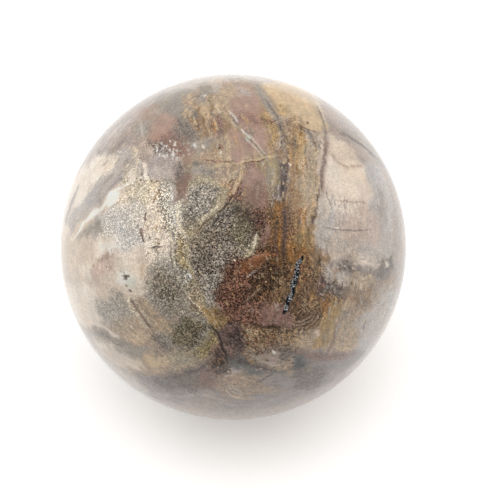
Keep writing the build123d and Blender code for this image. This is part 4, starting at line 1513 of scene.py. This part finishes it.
# Petrified wood, sawn round and polished: silica in place of wood, so it has quartz's refraction and a
# wet gloss, over a body colour that changes from grain to grain and along the fibre of the wood
def polished_petrified_wood(stone):
    material, tree, output = new_material("polished_petrified_wood")
    place = add_node(tree, "ShaderNodeTexCoord").outputs["Object"]
    masks = {
        name: add_node(tree, "ShaderNodeAttribute", attribute_name=name).outputs["Fac"]
        for name in ("sand", "fibre", "hollow")
    }
    figure = add_node(tree, "ShaderNodeAttribute", attribute_name="figure").outputs["Color"]

    # Sand: grains of quartz 0.2 to 0.4 mm across, each lighter or darker than the next, few of them bright,
    # some warm and some cool, in two sizes; the brightest stand for pale grains and for painted glints
    sand_tone, sand_tint = 1.0, None
    for size in (stone.grain_size, stone.coarse_grain_size):
        grains = add_node(tree, "ShaderNodeTexVoronoi", {"Vector": place, "Scale": 1 / size})
        chance = add_node(tree, "ShaderNodeSeparateColor", {"Color": grains.outputs["Color"]})
        square = add_node(tree, "ShaderNodeMath", {
            0: chance.outputs["Red"], 1: chance.outputs["Red"],
        }, operation="MULTIPLY")
        grain_tone = add_node(tree, "ShaderNodeMapRange", {
            "Value": square.outputs[0], "To Min": stone.grain_dark, "To Max": stone.pale_grain_and_glint,
        })
        share = add_node(tree, "ShaderNodeMath", {
            0: masks["sand"], 1: 1.0 if size == stone.grain_size else stone.coarse_share,
        }, operation="MULTIPLY")
        layer_tone = add_node(tree, "ShaderNodeMapRange", {
            "Value": share.outputs[0], "To Min": 1.0, "To Max": grain_tone.outputs["Result"],
        })
        sand_tone = add_node(tree, "ShaderNodeMath", {
            0: sand_tone, 1: layer_tone.outputs["Result"],
        }, operation="MULTIPLY").outputs[0]
        sand_tint = add_node(tree, "ShaderNodeMix", {
            SHARE: chance.outputs["Green"], UNDER: (*WARM_GRAIN, 1), OVER: (*COOL_GRAIN, 1),
        }, data_type="RGBA").outputs[RESULT]
    tint = add_node(tree, "ShaderNodeMix", {
        SHARE: masks["sand"], UNDER: (1, 1, 1, 1), OVER: sand_tint,
    }, data_type="RGBA")
    tinted = add_node(tree, "ShaderNodeVectorMath", {
        0: figure, 1: tint.outputs[RESULT],
    }, operation="MULTIPLY")

    # Fibre: the wood's cells run along the trunk, so the noise is drawn out that way
    drawn_out = add_node(tree, "ShaderNodeMapping", {
        "Vector": place,
        "Rotation": (-CAMERA_ELEVATION, 0, 0),
        "Scale": (stone.fibre_width, stone.fibre_width, stone.fibre_length),
    }, vector_type="TEXTURE")
    fibres = add_node(tree, "ShaderNodeTexNoise", {
        "Vector": drawn_out.outputs["Vector"], "Scale": 1.0,
        "Detail": FIBRE_DETAIL, "Roughness": FIBRE_ROUGHNESS,
    })
    fibre_tone = add_node(tree, "ShaderNodeMapRange", {
        "Value": fibres.outputs["Fac"],
        "From Min": FIBRE_VALUES[0], "From Max": FIBRE_VALUES[1],
        "To Min": FIBRE_TONES[0], "To Max": FIBRE_TONES[1],
    })
    fibre_share = add_node(tree, "ShaderNodeMapRange", {
        "Value": masks["fibre"], "To Min": 1.0, "To Max": fibre_tone.outputs["Result"],
    })
    tone = add_node(tree, "ShaderNodeMath", {
        0: sand_tone, 1: fibre_share.outputs["Result"],
    }, operation="MULTIPLY")
    toned = add_node(tree, "ShaderNodeVectorMath", {
        0: tinted.outputs[0], "Scale": tone.outputs[0],
    }, operation="SCALE")

    # The lining of the fissure and the vugs: too rough for the polisher to reach
    roughness = add_node(tree, "ShaderNodeMapRange", {
        "Value": masks["hollow"], "To Min": stone.polish_roughness, "To Max": stone.lining_roughness,
    })
    shader = add_node(tree, "ShaderNodeBsdfPrincipled", {
        "Base Color": toned.outputs["Vector"], "Roughness": roughness.outputs["Result"],
        "IOR": QUARTZ_IOR,
    })
    tree.links.new(shader.outputs["BSDF"], output.inputs["Surface"])
    return material


# Quartz grown as free points in an open seam: clear to milky, with bright flat faces
def quartz_crystal_points():
    material, tree, output = new_material("quartz_crystal_points")
    shader = add_node(tree, "ShaderNodeBsdfPrincipled", {
        "Base Color": (*linear(CRYSTAL_COLOUR), 1), "Roughness": CRYSTAL_ROUGHNESS, "IOR": QUARTZ_IOR,
    })
    tree.links.new(shader.outputs["BSDF"], output.inputs["Surface"])
    return material


# Smooth white paper under a studio's lamps: white where it is fully lit, grey in the ball's shadow
def white_paper(stage):
    material, tree, output = new_material("white_paper")
    rays = add_node(tree, "ShaderNodeLightPath")
    seen = add_node(tree, "ShaderNodeMath", {
        0: rays.outputs["Is Camera Ray"], 1: rays.outputs["Is Glossy Ray"],
    }, operation="MAXIMUM")
    paper = add_node(tree, "ShaderNodeBsdfDiffuse", {"Color": (*stage.paper_colour, 1)})
    glow = add_node(tree, "ShaderNodeEmission", {
        "Color": (*stage.paper_colour, 1), "Strength": stage.paper_glow,
    })
    bright = add_node(tree, "ShaderNodeAddShader", {0: paper.outputs[0], 1: glow.outputs[0]})
    either = add_node(tree, "ShaderNodeMixShader", {
        0: seen.outputs[0], 1: paper.outputs[0], 2: bright.outputs[0],
    })
    tree.links.new(either.outputs[0], output.inputs["Surface"])
    return material


def add_piece(name, mesh, material):
    """Puts a mesh in the scene as a piece of the stone."""
    mesh.materials.append(material)
    piece = bpy.data.objects.new(name, mesh)
    bpy.context.scene.collection.objects.link(piece)
    return piece


def near_line(directions, pixels, reach):
    """Which places lie within a reach, in millimetres, of a line or a single place in the photo."""
    corners = on_ball(pixels)
    centre = unit(corners.mean(0))
    places = flatten(directions, centre)
    line = flatten(corners, centre)
    if len(line) == 1:
        return np.hypot(*(places - line[0]).T) < reach
    return gap_to_line(places, line)[0] < reach


def mesh_directions(mesh):
    """The directions of a mesh's vertices from the ball's centre."""
    places = np.empty(len(mesh.vertices) * 3)
    mesh.vertices.foreach_get("co", places)
    return unit(places.reshape(-1, 3) - CENTRE)


def round_off(mesh_data):
    """Puts every vertex of the mesh back on the ball."""
    for vertex in mesh_data.verts:
        vertex.co = Vector(CENTRE) + (vertex.co - Vector(CENTRE)).normalized() * RADIUS


def refine(mesh_data, chosen):
    """Divides the edges whose ends are both chosen, given as a test of directions."""
    directions = unit(np.array([vertex.co for vertex in mesh_data.verts]) - CENTRE)
    kept = chosen(directions)
    mesh_data.verts.index_update()
    edges = [e for e in mesh_data.edges if kept[e.verts[0].index] and kept[e.verts[1].index]]
    bmesh.ops.subdivide_edges(mesh_data, edges=edges, cuts=1, use_grid_fill=True)
    round_off(mesh_data)


def cube_atlas(mesh_data):
    """Unwraps the six sides of the cube that the ball grew from, three by two."""
    layer = mesh_data.loops.layers.uv.new(UV_NAME)
    for face in mesh_data.faces:
        middle = face.calc_center_median()
        axis = max(range(3), key=lambda i: abs(middle[i]))
        side = 2 * axis + (middle[axis] > 0)
        across, along = (i for i in range(3) if i != axis)
        for loop in face.loops:
            shares = (loop.vert.co[i] / CUBE_SIDE + 0.5 for i in (across, along))
            u, v = (UV_MARGIN + share * (1 - 2 * UV_MARGIN) for share in shares)
            loop[layer].uv = ((side % UV_ACROSS + u) / UV_ACROSS, (side // UV_ACROSS + v) / UV_ALONG)


def ball_mesh(stone):
    """The round ball: a cube's sides, divided, unwrapped and blown up, and divided again where it shows."""
    mesh_data = bmesh.new()
    bmesh.ops.create_cube(mesh_data, size=CUBE_SIDE)
    edges = mesh_data.edges[:]
    bmesh.ops.subdivide_edges(mesh_data, edges=edges, cuts=stone.divisions - 1, use_grid_fill=True)
    cube_atlas(mesh_data)
    for vertex in mesh_data.verts:
        vertex.co = Vector(math.tan(part * math.pi / 4) for part in vertex.co) + Vector(CENTRE)
    round_off(mesh_data)
    front = unit(EYE)
    fine_veins = [mark.route for mark in MARKS if isinstance(mark, Vein) and mark.width < FINE_WIDTH]
    flaws = [[place] for place, _ in VUGS] + [FISSURE_ROUTE]

    def near_fine_veins(directions):
        outside = directions @ front < math.cos(MIDDLE_ANGLE)
        near = np.any([near_line(directions, line, FINE_REACH) for line in fine_veins], axis=0)
        return outside & near

    def near_flaws(directions):
        return np.any([near_line(directions, line, FLAW_REACH) for line in flaws], axis=0)

    refine(mesh_data, lambda directions: directions @ front > math.cos(FRONT_ANGLE))
    refine(mesh_data, lambda directions: directions @ front > math.cos(MIDDLE_ANGLE))
    refine(mesh_data, near_fine_veins)
    refine(mesh_data, near_flaws)
    mesh = bpy.data.meshes.new("polished_stone")
    mesh_data.to_mesh(mesh)
    mesh_data.free()
    mesh.shade_smooth()
    return mesh


def fissure_line():
    """The fissure's route on the plane that touches the ball at its middle, and that middle."""
    corners = on_ball(FISSURE_ROUTE)
    centre = unit(corners.mean(0))
    return curve_through(flatten(corners, centre), closed=False), centre


def fissure_depths(directions, stone):
    """How deep the fissure is under each place, in millimetres."""
    line, centre = fissure_line()
    gap, along = gap_to_line(flatten(directions, centre), line)
    share = np.interp(along * (len(FISSURE_WIDTHS) - 1), np.arange(len(FISSURE_WIDTHS)), FISSURE_WIDTHS)
    share = share + FISSURE_RAGGED * noise_at(directions * RADIUS_MM, RAGGED_SIZE, FISSURE_USE)
    half_width = stone.fissure_width / MM / 2 * np.maximum(share, FISSURE_LEAST)
    return stone.fissure_depth / MM * np.clip(1 - (gap / half_width) ** 2, 0, 1)


def vug_depths(directions, stone):
    """How deep the vugs are under each place, in millimetres: sloping walls and a small floor."""
    depths = np.zeros(len(directions))
    ragged = 1 + VUG_RAGGED * noise_at(directions * RADIUS_MM, RAGGED_SIZE, VUG_USE)
    for place, width in VUGS:
        gap = RADIUS_MM * np.arccos(np.clip(directions @ on_ball([place])[0], -1, 1))
        slope = (1 - 2 * gap * ragged / width) / (1 - VUG_FLOOR)
        depths = np.maximum(depths, width * VUG_DEPTH * np.clip(slope, 0, 1))
    return depths


def carve(mesh, stone):
    """Sinks the fissure and the vugs into the ball, and says how far the painted shade of each covers a
    vertex.
    """
    directions = mesh_directions(mesh)
    fissure = fissure_depths(directions, stone)
    vugs = vug_depths(directions, stone)
    depths = np.maximum(fissure, vugs)
    places = CENTRE + directions * (RADIUS - depths * MM)[:, None]
    mesh.vertices.foreach_set("co", places.ravel())
    mesh.update()
    return np.clip(fissure / FISSURE_SHADE_DEPTH, 0, 1), np.clip(vugs / VUG_SHADE_DEPTH, 0, 1)


def set_attribute(mesh, name, kind, field, values):
    """Gives every vertex of a mesh a value that the material can read."""
    attribute = mesh.attributes.new(name, kind, "POINT")
    attribute.data.foreach_set(field, np.ascontiguousarray(values, dtype=np.float32).ravel())


def grow_crystal(mesh_data, foot, axis, length, radius, turn):
    """One quartz point: a prism that ends in a pyramid."""
    upright = Vector(axis).to_track_quat("Z", "Y").to_matrix()
    rims = []
    for height in (CRYSTAL_ROOT, CRYSTAL_SHOULDER):
        rim = []
        for i in range(CRYSTAL_SIDES):
            angle = (i + turn) * math.tau / CRYSTAL_SIDES
            corner = Vector((radius * math.cos(angle), radius * math.sin(angle), height * length))
            rim.append(mesh_data.verts.new(Vector(foot) + upright @ corner))
        rims.append(rim)
    root, shoulder = rims
    tip = mesh_data.verts.new(Vector(foot) + upright @ Vector((0, 0, length)))
    for i in range(CRYSTAL_SIDES):
        j = (i + 1) % CRYSTAL_SIDES
        mesh_data.faces.new((root[i], root[j], shoulder[j], shoulder[i]))
        mesh_data.faces.new((shoulder[i], shoulder[j], tip))
    mesh_data.faces.new(root[::-1])


class StoneSettings(bpy.types.PropertyGroup):
    """Sizes of the stone's flaws and grain."""

    divisions: IntProperty(
        name="Divisions", description="Faces along each edge of the cube that the ball grows from",
        default=62, min=8, max=80,
    )
    grain_size: FloatProperty(
        name="Grain", description="Width of a grain in the sandy lobes",
        default=0.17 * MM, unit="LENGTH", precision=5,
    )
    coarse_grain_size: FloatProperty(
        name="Coarse grain", description="Width of the larger grains among them",
        default=0.42 * MM, unit="LENGTH", precision=5,
    )
    coarse_share: FloatProperty(
        name="Coarse share", description="How much the larger grains show",
        default=0.12, min=0.0, max=1.0, subtype="FACTOR",
    )
    grain_dark: FloatProperty(
        name="Dark grain", description="Tone of the darkest grains, as a share of the sand's own",
        default=0.08, min=0.0, max=1.0,
    )
    # The palest grains are partly pale sand and partly painted glints
    pale_grain_and_glint: FloatProperty(
        name="Pale grain", description="Tone of the palest grains, as a share of the sand's own",
        default=3.38, min=1.0, max=5.0,
    )
    fibre_width: FloatProperty(
        name="Fibre width", description="Width of a single fibre of the wood",
        default=0.24 * MM, unit="LENGTH", precision=5,
    )
    fibre_length: FloatProperty(
        name="Fibre length", description="Length of a single fibre of the wood",
        default=1.2 * MM, unit="LENGTH", precision=5,
    )
    fissure_width: FloatProperty(
        name="Fissure width", description="Width of the open fissure at the polished surface",
        default=1.5 * MM, unit="LENGTH", precision=5,
    )
    fissure_depth: FloatProperty(
        name="Fissure depth", description="Depth of the open fissure",
        default=0.9 * MM, unit="LENGTH", precision=5,
    )
    crystal_length: FloatProperty(
        name="Crystal length", description="Length of the longest quartz points in the fissure",
        default=0.4 * MM, unit="LENGTH", precision=5,
    )
    crystal_count: IntProperty(
        name="Crystals", description="Number of quartz points in the fissure", default=220, min=0, max=1000,
    )
    polish_roughness: FloatProperty(
        name="Polish", description="Roughness of the polished surface",
        default=0.16, min=0.0, max=1.0, subtype="FACTOR",
    )
    lining_roughness: FloatProperty(
        name="Lining", description="Roughness of the lining of the fissure and the vugs",
        default=0.6, min=0.0, max=1.0, subtype="FACTOR",
    )


class MineralColours(bpy.types.PropertyGroup):
    """The body colour of each mineral in the stone, some of which also serve as painted glints and painted
    shade.
    """

    __annotations__ = {
        name: FloatVectorProperty(
            name=name.replace("_", " ").capitalize(), description="Body colour of this mineral",
            default=linear(mineral.colour), min=0.0, max=1.0, size=3, subtype="COLOR",
        )
        for name, mineral in MINERALS.items()
    }


class StageSettings(bpy.types.PropertyGroup):
    """The paper that the ball lies on, and its light."""

    paper_size: FloatProperty(
        name="Paper", description="Side of the paper under the ball", default=4.0, unit="LENGTH",
    )
    paper_front: FloatProperty(
        name="Paper in front", description="How far the paper reaches in front of the ball's centre",
        default=85 * MM, unit="LENGTH", precision=5,
    )
    paper_colour: FloatVectorProperty(
        name="Paper colour", description="Colour of the paper",
        default=linear(PAPER_COLOUR), min=0.0, max=1.0, size=3, subtype="COLOR",
    )
    paper_glow: FloatProperty(
        name="Paper glow", description="How much the camera sees the paper brighter than the ball does",
        default=0.43, min=0.0, max=1.0,
    )
    tent_light: FloatProperty(
        name="Tent", description="Brightness of the white tent round the ball",
        default=0.66, min=0.0, max=2.0,
    )
    opening_light: FloatProperty(
        name="Opening", description="Brightness of the tent's open front",
        default=0.12, min=0.0, max=2.0,
    )
    lamp_light: FloatProperty(
        name="Lamp", description="Strength of the broad lamp overhead, in watts per square metre",
        default=1.4, min=0.0, max=10.0,
    )


class STONE_OT_ball(bpy.types.Operator):
    """Build the ball, carve its flaws and lay the stone's figure on it"""

    bl_idname = "stone.ball"
    bl_label = "Polished Stone"

    def execute(self, context):
        stone = context.scene.stone_settings
        mesh = ball_mesh(stone)
        colours = {name: np.array(getattr(context.scene.stone_colours, name)) for name in MINERALS}
        figure = Figure(mesh_directions(mesh), colours)
        figure.lay_bands()
        for side in HIDDEN_SIDES:
            figure.lay_hidden(side)
        for mark in MARKS:
            figure.lay_mark(mark)
        figure.weather()
        fissure, vugs = carve(mesh, stone)
        everywhere = np.arange(len(fissure))
        # Painted shade: the fissure is laid blue-black and the vugs grey, more fully the deeper they are
        figure.lay("blue_black", everywhere, fissure)
        figure.lay("vug_shade_grey", everywhere, vugs)
        hollow = np.maximum(fissure, vugs)
        opaque = np.ones((len(hollow), 1))
        set_attribute(mesh, "figure", "FLOAT_COLOR", "color", np.hstack([figure.colour, opaque]))
        set_attribute(mesh, "sand", "FLOAT", "value", figure.sand)
        set_attribute(mesh, "fibre", "FLOAT", "value", figure.fibre)
        set_attribute(mesh, "hollow", "FLOAT", "value", hollow)
        ball = add_piece("polished_stone", mesh, polished_petrified_wood(stone))
        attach(ball, BODY)
        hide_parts(NODE)
        return {"FINISHED"}


class STONE_OT_crystals(bpy.types.Operator):
    """Grow quartz points on the walls of the open fissure"""

    bl_idname = "stone.crystals"
    bl_label = "Fissure Crystals"

    def execute(self, context):
        stone = context.scene.stone_settings
        line, centre = fissure_line()
        right, up = flat_axes(centre)
        draw = np.random.default_rng(CRYSTAL_SEED)
        mesh_data = bmesh.new()
        for _ in range(stone.crystal_count):
            share = draw.uniform(*CRYSTAL_STRETCH) * (len(line) - 1)
            start = int(share)
            step = line[min(start + 1, len(line) - 1)] - line[start]
            across = unit(np.array((-step[1], step[0])))
            aside = across * draw.uniform(-CRYSTAL_ASIDE, CRYSTAL_ASIDE) * stone.fissure_width / MM
            spot = line[start] + step * (share - start) + aside
            outward = unit(centre + (right * spot[0] + up * spot[1]) / RADIUS_MM)
            depth = fissure_depths(outward[None, :], stone)[0] * MM
            length = min(draw.uniform(*CRYSTAL_LENGTHS) * stone.crystal_length, CRYSTAL_FILL * depth)
            lean = unit(outward + CRYSTAL_LEAN * draw.normal(size=3))
            if length < CRYSTAL_LEAST_LENGTH * MM or lean @ outward < CRYSTAL_LEAST_RISE:
                continue
            foot = CENTRE + outward * (RADIUS - depth)
            radius = length * draw.uniform(*CRYSTAL_RADII)
            grow_crystal(mesh_data, foot, lean, length, radius, draw.uniform(0, 1))
        mesh = bpy.data.meshes.new("fissure_crystals")
        mesh_data.to_mesh(mesh)
        mesh_data.free()
        crystals = add_piece("fissure_crystals", mesh, quartz_crystal_points())
        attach(crystals, BODY)
        return {"FINISHED"}


class STONE_OT_stage(bpy.types.Operator):
    """Lay the white paper, light the tent round the ball and set up the camera"""

    bl_idname = "stone.stage"
    bl_label = "Stage"

    def execute(self, context):
        scene, stage = context.scene, context.scene.stone_stage
        scene.view_settings.view_transform = "Standard"
        self.lay_paper(scene, stage)
        self.light_tent(scene, stage)
        self.hang_lamp(scene, stage)
        self.set_camera(scene)
        return {"FINISHED"}

    def lay_paper(self, scene, stage):
        mesh_data = bmesh.new()
        bmesh.ops.create_grid(mesh_data, x_segments=1, y_segments=1, size=stage.paper_size / 2)
        for corner in mesh_data.verts:
            corner.co.y = max(corner.co.y, -stage.paper_front)
        mesh = bpy.data.meshes.new("paper")
        mesh_data.to_mesh(mesh)
        mesh_data.free()
        paper = add_piece("paper", mesh, white_paper(stage))
        paper.location = (CENTRE[0], CENTRE[1], BOX_LOW[2])

    def light_tent(self, scene, stage):
        """A white tent all round, open in front, where the camera stands."""
        world = bpy.data.worlds.new("tent")
        scene.world = world
        world.use_nodes = True
        tree = world.node_tree
        tree.nodes.clear()
        side = add_node(tree, "ShaderNodeTexCoord").outputs["Generated"]
        facing = add_node(tree, "ShaderNodeVectorMath", {0: side, 1: OPENING_SIDE}, operation="DOT_PRODUCT")
        light = add_node(tree, "ShaderNodeMapRange", {
            "Value": facing.outputs["Value"],
            "From Min": math.cos(OPENING_OUTER), "From Max": math.cos(OPENING_INNER),
            "To Min": stage.tent_light, "To Max": stage.opening_light,
        }, interpolation_type="SMOOTHSTEP")
        rays = add_node(tree, "ShaderNodeLightPath")
        strength = add_node(tree, "ShaderNodeMapRange", {
            "Value": rays.outputs["Is Camera Ray"], "To Min": light.outputs["Result"], "To Max": 1.0,
        })
        tent = add_node(tree, "ShaderNodeBackground", {
            "Color": (*linear(TENT_COLOUR), 1), "Strength": strength.outputs["Result"],
        })
        output = add_node(tree, "ShaderNodeOutputWorld")
        tree.links.new(tent.outputs[0], output.inputs["Surface"])

    def hang_lamp(self, scene, stage):
        lamp = bpy.data.lights.new("overhead", "SUN")
        lamp.energy = stage.lamp_light
        lamp.angle = LAMP_ANGLE
        holder = bpy.data.objects.new("overhead", lamp)
        holder.rotation_euler = LAMP_TURN
        holder.visible_glossy = False
        scene.collection.objects.link(holder)

    def set_camera(self, scene):
        lens = bpy.data.cameras.new("camera")
        lens.sensor_width = SENSOR_WIDTH
        lens.lens = SENSOR_WIDTH * FOCAL_PIXELS / PHOTO_SIDE
        camera = bpy.data.objects.new("camera", lens)
        turn = Matrix((RIGHT, UP, BACK)).transposed().to_4x4()
        camera.matrix_world = Matrix.Translation(Vector(CENTRE + EYE * RADIUS)) @ turn
        scene.collection.objects.link(camera)
        scene.camera = camera


class STONE_PT_panel(bpy.types.Panel):
    """The stone's pieces and settings"""

    bl_label = "Petrified Wood Sphere"
    bl_idname = "STONE_PT_panel"
    bl_space_type = "VIEW_3D"
    bl_region_type = "UI"
    bl_category = "Stone"

    def draw(self, context):
        scene = context.scene
        for operator in (STONE_OT_ball, STONE_OT_crystals, STONE_OT_stage):
            self.layout.operator(operator.bl_idname)
        for group in (scene.stone_settings, scene.stone_colours, scene.stone_stage):
            column = self.layout.column()
            for name in group.__annotations__:
                column.prop(group, name)


CLASSES = (
    StoneSettings, MineralColours, StageSettings,
    STONE_OT_ball, STONE_OT_crystals, STONE_OT_stage, STONE_PT_panel,
)


def register():
    for cls in CLASSES:
        bpy.utils.register_class(cls)
    bpy.types.Scene.stone_settings = PointerProperty(type=StoneSettings)
    bpy.types.Scene.stone_colours = PointerProperty(type=MineralColours)
    bpy.types.Scene.stone_stage = PointerProperty(type=StageSettings)


def unregister():
    del bpy.types.Scene.stone_settings
    del bpy.types.Scene.stone_colours
    del bpy.types.Scene.stone_stage
    for cls in reversed(CLASSES):
        bpy.utils.unregister_class(cls)


def main():
    register()
    bpy.ops.stone.ball()
    bpy.ops.stone.crystals()
    bpy.ops.stone.stage()


if __name__ == "__main__":
    main()
